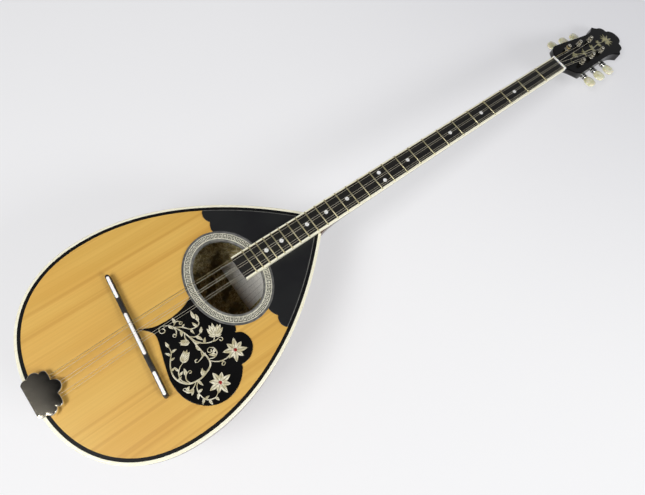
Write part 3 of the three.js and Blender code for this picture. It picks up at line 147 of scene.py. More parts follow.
# A tulip's petals: the angle off its way, the length, the half width and the bend
TULIP_PETALS = [
    (1.1, 9, 2.0, -0.3), (-1.1, 9, 2.0, 0.3), (0.6, 10.5, 2.1, -0.12), (-0.6, 10.5, 2.1, 0.12),
    (0.2, 11.5, 1.8, 0), (-0.25, 10, 1.8, 0), (1.9, 5, 1.3, -0.4), (-1.9, 5, 1.3, 0.4),
]
# A bud: its middle leaf's length and half width, then how far up each pair stands, its length,
# and the pairs' half width, angle and bend
BUD_LENGTH = 13
BUD_HALF_WIDTH = 2.2
BUD_PAIRS = [(1.2, 6.6), (4, 5.9), (6.8, 5.2)]
BUD_PAIR_HALF_WIDTH = 1.7
BUD_PAIR_ANGLE = 0.8
BUD_PAIR_BEND = -0.25
# A fan of leaves: how much shorter the outer ones are, and how far they bend
FAN_SHORTENING = 0.35
FAN_BEND = 0.15
HEART_RADIUS = 2.1
HEART_RISE = 0.5
HEART_FOOT = 0.1
SHORT_PETAL_SHARE = 0.82

# Neck, fretboard, frets and nut
FRETBOARD_MARGIN = 14.2
FRETBOARD_BOTTOM = 1.1
FRETBOARD_TOP = 6.4
FRETBOARD_NUT_WIDTH = 24.6
FRETBOARD_END_WIDTH = 31.8
FRETBOARD_BINDING_WIDTH = 2.2
FRETBOARD_EDGE = 0.3
FRET_WIDTH = 1.7
FRET_HEIGHT = 1
FRET_INSET = 0.4
DOT_RADIUS = 2.5
DOT_RISE = 0.03
DOT_SPREAD = 6.2
DOT_DEPTH = 0.3
DOT_ROWS = [(3, 0), (5, 0), (7, 0), (10, 0), (12, 1), (12, -1), (15, 0), (17, 0), (19, 0), (22, 0), (24, 0)]
NUT_THICKNESS = 5
NUT_BONE = 2.5
NUT_CREST = 8.4
NUT_DROP = 0.7
NUT_ROUND = 0.5
NUT_CORNER = 0.15
NUT_SLOT_SHARE = 1.5
NUT_BACK_EDGE = 0.3
NECK_TOP = 1.1
NECK_DEPTH_AT_NUT = 14.5
NECK_DEPTH_AT_BODY = 18
HEEL_LENGTH = 62
HEAD_BLEND_START = -16
HEAD_BLEND_LENGTH = 20

# Bridge
BRIDGE_SHIFT = 5.5
BRIDGE_SLANT = math.radians(6.1)
BRIDGE_LENGTH = 150
BRIDGE_WIDTH = 5.8
BRIDGE_TOP_WIDTH = 4.7
BRIDGE_TOP = 8.7
BRIDGE_FOOT_LENGTH = 34
BRIDGE_ARCH = 2.9
BRIDGE_ARCH_POWER = 0.5
BRIDGE_LEAST_WIDTH = 0.02
BRIDGE_EDGE = 0.5
SADDLE_LENGTH = 50
SADDLE_THICKNESS = 3.4
SADDLE_CREST = 11.75
SADDLE_EDGE = 1.1
TIP_LENGTH = 27.5
TIP_END_MARGIN = 2.5
TIP_TOP = 9.2
BONE_BOTTOM = 6.7
BONE_EDGE = 0.7

# Head and tuning machines
HEAD_PITCH = math.radians(13)
HEAD_LENGTH = 161
HEAD_WIDTH = 60.4
HEAD_THICKNESS = 11
HEAD_EDGE_HEIGHT = 1.5
HEAD_ROUND_LENGTH = 26
HEAD_JOINT_DEPTH = 11.6
OVERLAY_BOTTOM = 0.1
OVERLAY_TOP = 1.8
OVERLAY_EDGE = 0.45
OVERLAY_STEP_INSET = 0.2
POST_FIRST = 36
POST_PITCH = 28.6
POST_LINE_OFFSET = 16.4
MACHINE_TOE = math.radians(2.9)
POSTS_A_SIDE = 3
POST_RADIUS = 2.6
POST_HEIGHT = 8.6
POST_FOOT_RADIUS = 1.6
POST_SHANK_RADIUS = 2.2
POST_FOOT_REACH = 1
POST_FOOT_CHAMFER = 0.5
POST_CROWN = 0.1
# A post's waist and its top: how far the radius is drawn in, and how far each place lies under
# the windings' foot, or under the top
POST_WAIST_PROFILE = [(0, 1.6), (0.2, 0.8), (0.4, 0)]
POST_TOP_PROFILE = [(0.4, 3), (0.15, 2.4), (0, 1.6), (0, 0.9), (0.3, 0.35), (0.9, 0)]
# The nut under its wheel: radius, and height over the post's foot
POST_NOSE_PROFILE = [(0, -0.9), (1.5, -0.9), (2, -0.5), (2, 0.3), (0, 0.3)]
COLLAR_RADIUS = 3.6
COLLAR_HEIGHT = 1.3
COLLAR_CLEARANCE = 0.15
COLLAR_ROUND = 0.45
COLLAR_SHOULDER = 0.2
COLLAR_WALL_SHARE = 0.5
COLLAR_SHOULDER_SHARE = 0.85
PLATE_TOP = -11
PLATE_BOTTOM = -12.3
PLATE_INNER = 8.5
PLATE_OUTER = 11
PLATE_MARGIN = 12.5
PLATE_CORNER = 3
PLATE_EDGE = 0.35
PLATE_SCREW_MARGIN = 3
WORM_DEPTH = -15.1
WORM_OFFSET = 9.8
WORM_RADIUS = 2.5
WORM_ROOT_RADIUS = 1.75
WORM_LENGTH = 8.4
WORM_TURNS = 4.5
WHEEL_RADIUS = 7
WHEEL_TEETH = 14
WHEEL_TOOTH_DEPTH = 0.9
WHEEL_THICKNESS = 4
WHEEL_EDGE = 0.3
WHEEL_CREST = 1.6
THREAD_CREST = 0.8
THREAD_FADE = 0.5
JOURNAL_RADIUS = 1.5
LUG_THICKNESS = 1.4
LUG_WIDTH = 6
LUG_CLEARANCE = 0.3
LUG_EDGE = 0.25
SHAFT_COLLAR_RADIUS = 3.3
SHAFT_COLLAR_LENGTH = 2.4
SHAFT_REACH = 18.2
SHAFT_RADIUS = 2.5
SHAFT_CHAMFER = 0.3
SHAFT_COLLAR_ROUND = 0.5
FERRULE_RADIUS = 4.3
FERRULE_LENGTH = 7
FERRULE_RINGS = 2
FERRULE_GROOVE = 0.9
FERRULE_GROOVE_WIDTH = 1.5
FERRULE_FLOOR = FERRULE_RADIUS - FERRULE_GROOVE
GROOVE_FILL = 0.3
BUTTON_START = 17.6
BASS_DRAW_IN = 3
BUTTON_LENGTH = 16.4
BUTTON_WIDTH = 18.6
BUTTON_THICKNESS = 7
BUTTON_NECK_RADIUS = 2.4
BUTTON_END_RADIUS = 0.9

# Screws: the head's radius and height, the shank's radius and the length
MACHINE_SCREW = (2.1, 1.4, 1.1, 8)
TAIL_SCREW = (3.1, 2.2, 1.5, 21)
SCREW_POINT = 2
SCREW_RIM_SHARE = 0.35
CROSS_REACH_SHARE = 0.55
CROSS_WIDTH_SHARE = 0.13
CROSS_CORNER_SHARE = 0.4
CROSS_DEPTH = 0.3
CROSS_EDGE = 0.02

# Windings
WINDING_TURNS = 4
WINDING_PITCH = 0.65
WINDING_HEIGHT = 3

# Tailpiece
TAILPIECE_PLATE = 1.2
TAILPIECE_TOP = 1.5
TAILPIECE_LENGTH = 20
TAILPIECE_HALF_WIDTH = 16.5
TAILPIECE_DROP = 30
TAILPIECE_DROP_HALF_WIDTH = 11
TAILPIECE_BEND = 2.4
TAILPIECE_NARROW_START = 10
TAILPIECE_NARROW_LENGTH = 9
TAILPIECE_FRONT_CORNER = 3
TAILPIECE_FOOT_CORNER = 6
HOOK_SETBACK = 4
HOOK_RADIUS = 0.9
HOOK_TOP = 5.6
HOOK_PIN_SHARE = 0.8
# A hook's pin: how far back it leans, and how high
HOOK_ROUTE = [(0, 1), (0, 3), (0.2, 4.6), (1.1, HOOK_TOP), (2.2, HOOK_TOP + 0.2)]
STRING_LOOP_Z = 4.3
EYE_DROP = 0.5
COVER_LENGTH = 34
COVER_OVERHANG = 0.4
COVER_WIDTH = 49
COVER_SHEET = 0.9
COVER_BOTTOM = 1.1
COVER_MOUTH_TOP = 5.6
COVER_TOP = 8.1
COVER_BEVEL = 2.1
COVER_CROWN = 0.25
COVER_CROWN_ROWS = 8
COVER_MOUTH_MARGIN = 1
# How much of an inset the cover's sides take at their rear end, and how fast that grows to all of it
COVER_REAR_INSET_SHARE = 0.3
COVER_INSET_GROWTH = 2
TAIL_SCREW_PITCH = 12
TAIL_SCREW_DROP = 16

# Body shape exponents and shares
ROUND_POWER = 2.3
TAPER_POWER = 1.9
TAPER_ROOT = 0.96
TAPER_JOINT_SHARE = 0.935
TAPER_LIMIT_SHARE = 0.985
ROUND_SHARE = 0.45
SECTION_POWER = 2.15
SPINE_POWER = 1.8
NECK_SECTION_POWER = 2.05
NECK_SETBACK = 0.5
HEEL_POWER = 3.4
HEEL_FLARE_POWER = 7

# Outlines as shares
# The head: along its length and half its width, then the scallops of its top as cusps and the
# height share of the arc that ends at each
HEAD_SHARES = [
    (0, 0.412), (0.02, 0.43), (0.075, 0.77), (0.125, 0.91), (0.17, 0.92), (0.32, 0.87),
    (0.5, 0.795), (0.62, 0.765), (0.68, 0.775), (0.74, 0.845), (0.8, 1),
]
HEAD_SCALLOP_SHARES = [(0.872, 0.81, -0.1), (0.918, 0.53, 0.16), (0.93, 0.44, -0.2), (1, 0, 0.2)]
# A hook of the ring's band: the corners of its line, along and across the band
MEANDER_SHARES = [(0.08, 0), (0.08, 1), (0.76, 1), (0.76, 0.12), (0.42, 0.12), (0.42, 0.56)]
# A strip of inlay across: how far aside each corner lies, and how high
STRIP_ASIDE_SHARES = (-1, -0.55, 0, 0.55, 1, 1, -1)
STRIP_RISE_SHARES = (0, 0.8, 1, 0.8, 0, -2, -2)
# A fret across the board: where its height changes, and how much of it there is
FRET_PLACE_SHARES = (-1, -0.985, -0.96, 0, 0.96, 0.985, 1)
FRET_FULL_SHARES = (0.3, 0.75, 1, 1, 1, 0.75, 0.3)
# The pickguard, from the hole's centre: towards the tail, and towards the treble side, in three
# stretches between its cusps
PICKGUARD_UPPER_SHARES = [
    (1, -0.04), (0.88, 0.018), (0.777, 0.036), (0.663, 0.036), (0.557, 0.018), (0.48, -0.01),
    (0.4, -0.05),
]
PICKGUARD_RING_SHARES = [(0.21, 0.42), (0.24, 0.5), (0.262, 0.515)]
PICKGUARD_LOBE_SHARES = [
    (0.262, 0.515), (0.2, 0.56), (0.174, 0.645), (0.198, 0.73), (0.28, 0.802), (0.384, 0.815),
]
PICKGUARD_BELLY_SHARES = [
    (0.384, 0.815), (0.405, 0.86), (0.5, 0.95), (0.622, 1), (0.755, 0.994), (0.876, 0.93),
    (0.968, 0.816), (1.008, 0.69), (1.01, 0.55), (0.975, 0.4), (0.935, 0.265), (0.905, 0.16),
    (0.9, 0.09), (0.93, 0.035), (1, -0.04),
]
UPPER_GUARD_CUSP_SHARES = (0.52, 0.35)
UPPER_GUARD_BULGE_SHARE = 0.19
# The tailpiece cover: from its rear edge, and half its width, then its lobes as on the head
COVER_REAR_SHARES = [(0, 0.76), (0.24, 0.88)]
COVER_LOBE_SHARES = [(0.585, 0.82, 0.33), (0.79, 0.72, 0.3), (0.785, 0.33, 0.05), (0.785, -0.33, 0.44)]
COVER_EAR_BULGE = 0.22
# A button: along its length, and how full it is there
BUTTON_SHARES = [(0, 0), (0.06, 0.4), (0.2, 0.8), (0.46, 1), (0.72, 0.92), (0.91, 0.6), (1, 0.1)]

# Places worked out from the dimensions
HALF_WIDTH = BODY_WIDTH / 2
TAIL_X = -(SCALE_LENGTH + TAIL_REACH)
WIDEST_X = TAIL_X + ROUND_LENGTH
FRETBOARD_LENGTH = FRETBOARD_MARGIN + SCALE_LENGTH * (1 - 2 ** (-FRET_COUNT / FRETS_AN_OCTAVE))
HOLE_X = -(FRETBOARD_LENGTH + HOLE_TO_BOARD_END)
JOINT_X = HOLE_X + HOLE_TO_JOINT
TAPER_LENGTH = (JOINT_X - WIDEST_X) / TAPER_JOINT_SHARE
BRIDGE_X = BRIDGE_SHIFT - SCALE_LENGTH
GUARD_LOW_X = HOLE_X + UPPER_GUARD_TO_HOLE
PICKGUARD_REACH = HOLE_X - BRIDGE_X - PICKGUARD_TO_BRIDGE
PICKGUARD_WIDTH = HALF_WIDTH - PICKGUARD_TO_EDGE
TAIL_PLATE_X = TAIL_X - TAILPIECE_PLATE - SEAT_GAP
RING_HALF_SIZES = np.array([HOLE_LENGTH, HOLE_WIDTH]) / 2 + RING_BAND
HOOK_X = TAIL_PLATE_X + TAILPIECE_LENGTH - HOOK_SETBACK
COVER_REAR_X = TAIL_X - COVER_OVERHANG
STRING_COUNT = 2 * COURSES
SIDES = ((1, "bass"), (-1, "treble"))
UP = np.array([0.0, 0.0, 1.0])
BASSWARD = np.array([0.0, 1.0, 0.0])
TWIST_UP = np.array([0.05, 0.02, 1.0])

# How finely the surfaces are drawn
BODY_STEPS = 220
BOWL_ROWS = 120
STAVE_STEPS = 6
ARC_STEPS = 12
EDGE_STEPS = 3
ROUND_SIDES = 48
SMALL_SIDES = 24
STRING_SIDES = 8
WINDING_STEPS = 40
PROBE_STEPS = 400
STEM_STEPS = 8
LEAF_STEPS = 12
CURL_STEPS = 29
DOME_STEPS = 5
HEEL_ROWS = 40
HEAD_STEPS = 6
BUTTON_STEPS = 6
DOMED_STEPS = 6
HOOK_STEPS = 5
HOOK_SIDES = 12
SHEET_FLAT_ROWS = 24
SHEET_BEND_ROWS = 10
SHEET_FALL_ROWS = 40
NECK_ROWS = 30
FRET_STEPS = 8
NUT_STEPS = 260
BRIDGE_STEPS = 160
BRIDGE_END_STEPS = 13
COVER_REAR_STEPS = 29
BEVEL_STEPS = 7
EYE_STEPS = 24
TWIST_STEPS = 90
TWIST_SIDES = 6
WORM_ROWS = 120
TOOTH_STEPS = 10
HAIR = 0.04
MITRE_LIMIT = 0.4
WELD_DISTANCE = 1e-4
SHARP_ANGLE = math.radians(38)


# Frames

def moved(x, y, z):
    """The frame moved by x, y and z."""
    matrix = np.eye(4)
    matrix[:3, 3] = x, y, z
    return matrix


def turned_about(axis, angle):
    """The frame turned about one of its axes."""
    matrix = np.eye(4)
    first, second = {"X": (1, 2), "Y": (2, 0), "Z": (0, 1)}[axis]
    matrix[first, first] = matrix[second, second] = math.cos(angle)
    matrix[second, first] = math.sin(angle)
    matrix[first, second] = -math.sin(angle)
    return matrix


# The rest pose: the bowl and the head's tip both touch the table
REST_TILT = math.radians(6.8592)
REST_PLACE = (312.29, 0, 64.878)
INSTRUMENT = moved(*REST_PLACE) @ turned_about("Y", REST_TILT)
HEAD = INSTRUMENT @ moved(NUT_THICKNESS + SEAT_GAP, 0, NECK_TOP - SEAT_GAP) @ turned_about("Y", HEAD_PITCH)
BRIDGE = INSTRUMENT @ moved(BRIDGE_X, 0, 0) @ turned_about("Z", -BRIDGE_SLANT)


def machine_row(side):
    """The frame of one row of machines on the head; side is 1 for bass and -1 for treble."""
    return HEAD @ moved(0, side * POST_LINE_OFFSET, 0) @ turned_about("Z", -side * MACHINE_TOE)


def post_x(number):
    """Where a post stands along its row."""
    return POST_FIRST + number * POST_PITCH


PLATE_START = post_x(0) - PLATE_MARGIN
PLATE_END = post_x(POSTS_A_SIDE - 1) + WORM_OFFSET + PLATE_MARGIN


def placed(points, matrix):
    """The points of a frame, in the frame that the matrix leads to."""
    return points @ matrix[:3, :3].T + matrix[:3, 3]


# Forms: a form is its points, its faces, and for each face corner two shares that a pattern can follow

def skin(points, round_rows=False, round_columns=False, capped=False):
    """A form over a grid points[row, column]: each four neighbours make a face, and its corners keep
    their shares of the way along the rows and the columns. Capped closes the first and last row."""
    rows, columns = points.shape[:2]
    row_steps = rows - (not round_rows)
    column_steps = columns - (not round_columns)
    row, column = np.meshgrid(np.arange(row_steps), np.arange(column_steps), indexing="ij")
    corner_rows = np.stack([row, row, row + 1, row + 1], -1).reshape(-1, 4)
    corner_columns = np.stack([column, column + 1, column + 1, column], -1).reshape(-1, 4)
    faces = ((corner_rows % rows) * columns + corner_columns % columns).tolist()
    shares = np.stack([corner_rows / row_steps, corner_columns / column_steps], -1).reshape(-1, 2)
    if capped:
        ring = np.arange(columns)
        faces += [ring[::-1].tolist(), (ring + (rows - 1) * columns).tolist()]
        ends = np.concatenate([np.zeros((columns, 2)), np.ones((columns, 2))])
        shares = np.concatenate([shares, ends])
    return points.reshape(-1, 3), faces, shares


def tube(sections):
    """A solid form through closed sections."""
    return skin(sections, round_columns=True, capped=True)


def joined(forms):
    """Several forms as one."""
    points, faces, shares, count = [], [], [], 0
    for form_points, form_faces, form_shares in forms:
        points.append(form_points)
        faces += [[corner + count for corner in face] for face in form_faces]
        shares.append(form_shares)
        count += len(form_points)
    return np.concatenate(points), faces, np.concatenate(shares)


def shifted(form, matrix):
    """A form in another frame."""
    points, faces, shares = form
    return placed(points, matrix), faces, shares


def unit(vectors):
    """The vectors at length 1."""
    return vectors / np.maximum(np.linalg.norm(vectors, axis=-1, keepdims=True), 1e-9)


def on_circle(angle):
    """Places on a circle of radius 1."""
    return np.stack([np.cos(angle), np.sin(angle)], -1)


def points_of(x, y, z):
    """Points from their three measures, each spread over the whole grid."""
    return np.stack(np.broadcast_arrays(x, y, z), -1)


def at_height(line, height):
    """A flat line's points at a height."""
    return np.insert(line, 2, height, axis=1)


def smooth_step(share):
    """A way from 0 to 1 that starts and ends level."""
    return share**2 * (3 - 2 * share)


def signed_power(value, power):
    """A power that keeps the value's sign."""
    return np.sign(value) * np.abs(value) ** power


def smooth_line(points, steps):
    """A Catmull-Rom curve through given points: between two of them a cubic whose slope at each
    is half the way from its neighbour before to its neighbour after."""
    points = np.asarray(points, float)
    padded = np.concatenate([2 * points[:1] - points[1:2], points, 2 * points[-1:] - points[-2:-1]])
    before, start, end, after = (padded[i:len(padded) - 3 + i, None] for i in range(4))
    share = (np.arange(steps) / steps)[None, :, None]
    line = 0.5 * (
        2 * start
        + (end - before) * share
        + (2 * before - 5 * start + 4 * end - after) * share**2
        + (3 * start - before - 3 * end + after) * share**3
    )
    return np.concatenate([line.reshape(-1, points.shape[1]), points[-1:]])


def arc_line(start, end, height_share):
    """The circle's arc between two cusps, its height over the chord a share of the chord, to the left
    of the way of travel; the start is left out."""
    chord = np.subtract(end, start)
    left = np.array([-chord[1], chord[0]])
    half_angle = 2 * math.atan(2 * height_share)
    angle = half_angle * (2 * np.arange(1, ARC_STEPS + 1) / ARC_STEPS - 1)
    along = 0.5 + 0.5 * np.sin(angle) / math.sin(half_angle)
    aside = 0.5 * (np.cos(angle) - math.cos(half_angle)) / math.sin(half_angle)
    return start + along[:, None] * chord + aside[:, None] * left


def carried(path, section, up, closed=False, round_section=True):
    """A section carried along a path: its first measure runs square to the way and to up, its second
    along up, made square to the way. The section may differ from point to point."""
    ways = unit(np.roll(path, -1, 0) - np.roll(path, 1, 0)) if closed else unit(np.gradient(path, axis=0))
    aside = unit(np.cross(up, ways))
    above = np.cross(ways, aside)
    section = np.broadcast_to(section, (len(path), *np.shape(section)[-2:]))
    points = path[:, None] + section[..., :1] * aside[:, None] + section[..., 1:] * above[:, None]
    return skin(points, round_rows=closed, round_columns=round_section, capped=not closed)


def circle(radius, sides):
    """Points round a circle."""
    return radius * on_circle(2 * np.pi * np.arange(sides) / sides)


def turned(profile, sides=ROUND_SIDES, closed=False):
    """A turned form on Z: a profile of radius and height pairs, carried round in a circle. A closed
    profile gives a ring with a hole."""
    rows = [at_height(circle(radius, sides), height) for radius, height in profile]
    return skin(np.stack(rows), round_rows=closed, round_columns=True, capped=not closed)


def wound(loop, anticlockwise):
    """The closed outline in the wanted way round."""
    after = np.roll(loop, -1, 0)
    area = np.sum(loop[:, 0] * after[:, 1] - after[:, 0] * loop[:, 1])
    return loop if (area > 0) == anticlockwise else loop[::-1]


def drawn_in(loop, inset):
    """Each corner of an outline moved to the left of the way round, square to both its sides."""
    way = unit(np.roll(loop, -1, 0) - loop)
    left = np.stack([-way[:, 1], way[:, 0]], -1)
    both = left + np.roll(left, 1, 0)
    return loop + inset * both / np.maximum((both**2).sum(-1, keepdims=True) / 2, MITRE_LIMIT)


def plate(outline, bottom, top, edge, holes=()):
    """A plate of an outline: its wall stands straight, then rounds over in a quarter circle of radius
    edge, carried along the outline and round each hole; flat faces close its top and bottom."""
    arc = np.linspace(0, np.pi / 2, EDGE_STEPS + 1)
    insets = [0, *(edge * (1 - np.cos(arc))), edge + HAIR]
    heights = [bottom, *(top - edge + edge * np.sin(arc)), top]
    loops = [wound(np.asarray(outline, float), True)]
    loops += [wound(np.asarray(hole, float), False) for hole in holes]
    forms = []
    for loop in loops:
        rings = [at_height(drawn_in(loop, inset), height) for inset, height in zip(insets, heights)]
        forms.append(skin(np.stack(rings), round_columns=True))
    for inset, height in ((insets[-1], top), (0, bottom)):
        inner = [drawn_in(loop, inset) for loop in loops]
        corners = at_height(np.concatenate(inner), height)
        triangles = tessellate_polygon([[Vector((x, y, 0)) for x, y in loop] for loop in inner])
        shares = np.zeros((3 * len(triangles), 2))
        forms.append((corners, [list(triangle) for triangle in triangles], shares))
    return joined(forms)


def rounded_bar(start, end, width, bottom, top, edge):
    """A plate along Y with half-round ends."""
    radius = width / 2
    half_round = radius * on_circle(np.linspace(0, np.pi, 2 * ARC_STEPS + 1))
    outline = np.concatenate([half_round + (0, end - radius), (0, start + radius) - half_round])
    return plate(outline, bottom, top, edge)


def rounded_box(low, high, corner):
    """The outline of a rectangle with round corners."""
    quarter = corner * on_circle(np.linspace(0, np.pi / 2, ARC_STEPS))
    low, high = np.asarray(low, float), np.asarray(high, float)
    return np.concatenate([
        quarter + high - corner,
        quarter[::-1] * (-1, 1) + (low[0] + corner, high[1] - corner),
        -quarter + low + corner,
        quarter[::-1] * (1, -1) + (high[0] - corner, low[1] + corner),
    ])


def make_piece(name, form, material, stands_for=(), place=INSTRUMENT, body="instrument"):
    """A form of a frame as a named object of the scene that moves with a body and stands for CAD nodes."""
    points, faces, shares = form
    mesh = bpy.data.meshes.new(name)
    mesh.from_pydata((placed(points, place) * MM).tolist(), [], faces)
    mesh.uv_layers.new(name="shares").data.foreach_set("uv", np.asarray(shares, np.float32).ravel())
    solid = bmesh.new()
    solid.from_mesh(mesh)
    bmesh.ops.remove_doubles(solid, verts=solid.verts, dist=WELD_DISTANCE * MM)
    bmesh.ops.recalc_face_normals(solid, faces=solid.faces)
    solid.to_mesh(mesh)
    solid.free()
    mesh.polygons.foreach_set("use_smooth", np.ones(len(mesh.polygons), bool))
    mesh.set_sharp_from_angle(angle=SHARP_ANGLE)
    mesh.materials.append(material)
    piece = bpy.data.objects.new(name, mesh)
    bpy.context.scene.collection.objects.link(piece)
    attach(piece, body)
    if stands_for:
        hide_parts(*stands_for)
    return piece


# Materials

# The sockets of a colour Mix node
FACTOR, FIRST, SECOND, MIXED = 0, 6, 7, 2


def linear(code):
    """An sRGB hex colour as the linear one that a socket takes."""
    parts = np.array([int(code[i:i + 2], 16) for i in (1, 3, 5)]) / 255
    light = np.where(parts <= 0.04045, parts / 12.92, ((parts + 0.055) / 1.055) ** 2.4)
    return (*light.tolist(), 1)


def add_node(tree, kind, inputs=None, **settings):
    """Adds a shader node with its settings, and each input's value or link; a link from a node comes
    from its first output."""
    node = tree.nodes.new("ShaderNode" + kind)
    for key, value in settings.items():
        setattr(node, key, value)
    for key, value in (inputs or {}).items():
        if isinstance(value, bpy.types.Node):
            value = value.outputs[0]
        if isinstance(value, bpy.types.NodeSocket):
            tree.links.new(value, node.inputs[key])
        else:
            node.inputs[key].default_value = value
    return node


def new_finish(name):
    """A material with an empty node tree."""
    material = bpy.data.materials.new(name)
    material.use_nodes = True
    material.node_tree.nodes.clear()
    return material, material.node_tree


def finish(tree, coat=None, **inputs):
    """Ends a material's tree in one surface shader, its inputs named with _ for each space. A coat is
    its weight and its roughness."""
    if coat:
        inputs["Coat_Weight"], inputs["Coat_Roughness"] = coat
    sockets = {key.replace("_", " "): value for key, value in inputs.items()}
    add_node(tree, "OutputMaterial", {"Surface": add_node(tree, "BsdfPrincipled", sockets)})


def grain(tree, sizes, detail=3.0, roughness=0.5):
    """Noise with blots of the given length, width and height in mm in the instrument's frame."""
    scaled = add_node(tree, "Mapping", {
        "Vector": add_node(tree, "TexCoord").outputs["Object"],
        "Location": [value * MM for value in REST_PLACE],
        "Rotation": (0, REST_TILT, 0),
        "Scale": [size * MM for size in sizes],
    }, vector_type="TEXTURE")
    return add_node(tree, "TexNoise", {
        "Vector": scaled, "Scale": 1, "Detail": detail, "Roughness": roughness,
    })


def between(tree, value, low, high, start=0.0, end=1.0):
    """The value's way from low to high, smoothed, as a number from start to end."""
    return add_node(tree, "MapRange", {
        "Value": value, "From Min": low, "From Max": high, "To Min": start, "To Max": end,
    }, interpolation_type="SMOOTHSTEP")


def tinted(tree, factor, first, second):
    """A colour between two, each a hex code or another node's colour."""
    first, second = (linear(value) if isinstance(value, str) else value for value in (first, second))
    mix = add_node(tree, "Mix", {FACTOR: factor, FIRST: first, SECOND: second}, data_type="RGBA")
    return mix.outputs[MIXED]


def dented(tree, height, depth):
    """A normal that follows a height pattern whose full depth is given in mm."""
    return add_node(tree, "Bump", {"Height": height, "Distance": depth * MM})


def form_shares(tree):
    """The form's own two shares, which its UV map holds, as outputs X and Y."""
    held = add_node(tree, "TexCoord").outputs["UV"]
    return add_node(tree, "SeparateXYZ", {"Vector": held}).outputs


def two_tone(name, colours, blots, reach, detail=3, fineness=0.5, wear=None, **surface):
    """A finish of two colours: noise with blots of a size in mm leads from one to the other while its
    value passes through a reach. Where wear is given, the roughness follows the same noise between its
    two values."""
    material, tree = new_finish(name)
    share = between(tree, grain(tree, blots, detail, fineness), *reach)
    if wear:
        surface["Roughness"] = between(tree, share, 0, 1, *wear)
    finish(tree, Base_Color=tinted(tree, share, *colours), **surface)
    return material


def scratched(name, colours, cloud, detail, scratches, wear, **surface):
    """A finish of two colours in clouds of a size in mm, with fine scratches of a size in mm that raise
    its roughness from the first value of the wear to the second."""
    material, tree = new_finish(name)
    clouds = between(tree, grain(tree, (cloud,) * 3, detail), 0.3, 0.7)
    worn = between(tree, grain(tree, scratches, 5, 0.6), 0.5, 0.75)
    surface["Roughness"] = between(tree, worn, 0, 1, *wear)
    finish(tree, Base_Color=tinted(tree, clouds, *colours), **surface)
    return material


def spruce_quarter_sawn_lacquered():
    """Spruce, quarter-sawn, planed and sprayed with clear lacquer: honey-coloured straight streaks along
    the neck, fine year rings, and a thin glossy coat. Year rings of 1.6 mm are drawn at 2.4 mm."""
    material, tree = new_finish("spruce_quarter_sawn_lacquered")
    streaks = between(tree, grain(tree, (1400, 24, 60), 3), 0.4, 0.7)
    lines = between(tree, grain(tree, (1100, 9, 60), 2), 0.52, 0.7)
    rings = between(tree, grain(tree, (700, 2.4, 30), 2), 0.38, 0.64)
    clouds = between(tree, grain(tree, (150, 70, 60), 3), 0.35, 0.7)
    base = tinted(tree, streaks, "#e0b55b", "#d2a247")
    cloudy = tinted(tree, between(tree, clouds, 0, 1, 0, 0.5), base, "#daa64b")
    lined = tinted(tree, between(tree, lines, 0, 1, 0, 0.36), cloudy, "#bd8634")
    colour = tinted(tree, between(tree, rings, 0, 1, 0, 0.1), lined, "#b47f37")
    finish(tree, Base_Color=colour, Roughness=0.45, coat=(0.3, 0.2))
    return material


def walnut_staves_lacquered():
    """Walnut staves, bent and glued with thin light lines between, lacquered outside; inside they carry
    a dark marbled lining with gold veins. The form's second share runs over the outside's staves up to
    one half, and back over the inside from there."""
    material, tree = new_finish("walnut_staves_lacquered")
    shares = form_shares(tree)
    staves_a_turn = 2 * (STAVE_COUNT * STAVE_STEPS + 1) / STAVE_STEPS
    across = add_node(tree, "Math", {0: shares["Y"], 1: staves_a_turn}, operation="MULTIPLY")
    stave = add_node(tree, "Math", {0: across}, operation="FLOOR")
    place = add_node(tree, "Math", {0: across, 1: 1.0}, operation="PINGPONG")
    tone = add_node(tree, "TexWhiteNoise", {"W": stave}, noise_dimensions="1D")
    # The wood's streaks follow each stave, and a stave's number moves them along, so that no two match
    drift = add_node(tree, "Math", {0: tone, 1: 40.0}, operation="MULTIPLY")
    along = add_node(tree, "Math", {0: shares["X"], 1: 5.0}, operation="MULTIPLY")
    wide = add_node(tree, "Math", {0: across, 1: 4.0}, operation="MULTIPLY")
    followed = add_node(tree, "CombineXYZ", {"X": along, "Y": wide, "Z": drift})
    streaks = add_node(tree, "TexNoise", {"Vector": followed, "Scale": 1, "Detail": 5})
    fine = add_node(tree, "TexNoise", {"Vector": followed, "Scale": 5, "Detail": 3})
    wood = tinted(tree, between(tree, streaks, 0.3, 0.7), "#6d4126", "#3f2414")
    wood = tinted(tree, between(tree, fine, 0.45, 0.75, 0, 0.5), wood, "#2d180d")
    wood = tinted(tree, between(tree, tone, 0, 1, 0, 0.35), wood, "#85532f")
    seam = between(tree, place, 0.03, 0.06, 1, 0)
    far_seam = between(tree, place, 0.94, 0.97, 0, 1)
    lines = add_node(tree, "Math", {0: seam, 1: far_seam}, operation="MAXIMUM")
    outside = tinted(tree, lines, wood, "#c39a62")
    # The marbled lining: dark olive with gold veins a few millimetres apart
    veins = grain(tree, (5.5, 5.5, 5.5), 6, 0.7)
    ridge = add_node(tree, "Math", {0: veins, 1: 0.5}, operation="SUBTRACT")
    ridge = add_node(tree, "Math", {0: ridge}, operation="ABSOLUTE")
    gold = between(tree, ridge, 0.0, 0.05, 1, 0)
    patches = between(tree, grain(tree, (14, 14, 14), 4), 0.4, 0.6)
    shown = add_node(tree, "Math", {0: gold, 1: patches}, operation="MULTIPLY")
    marbled = tinted(tree, patches, "#85764a", "#c2b173")
    marbled = tinted(tree, shown, marbled, "#fff6cf")
    inside = add_node(tree, "Math", {0: shares["Y"], 1: 0.5}, operation="GREATER_THAN")
    colour = tinted(tree, inside, outside, marbled)
    gloss = between(tree, inside, 0, 1, 0.32, 0.6)
    finish(tree, Base_Color=colour, Roughness=gloss, coat=(0.4, 0.12))
    return material


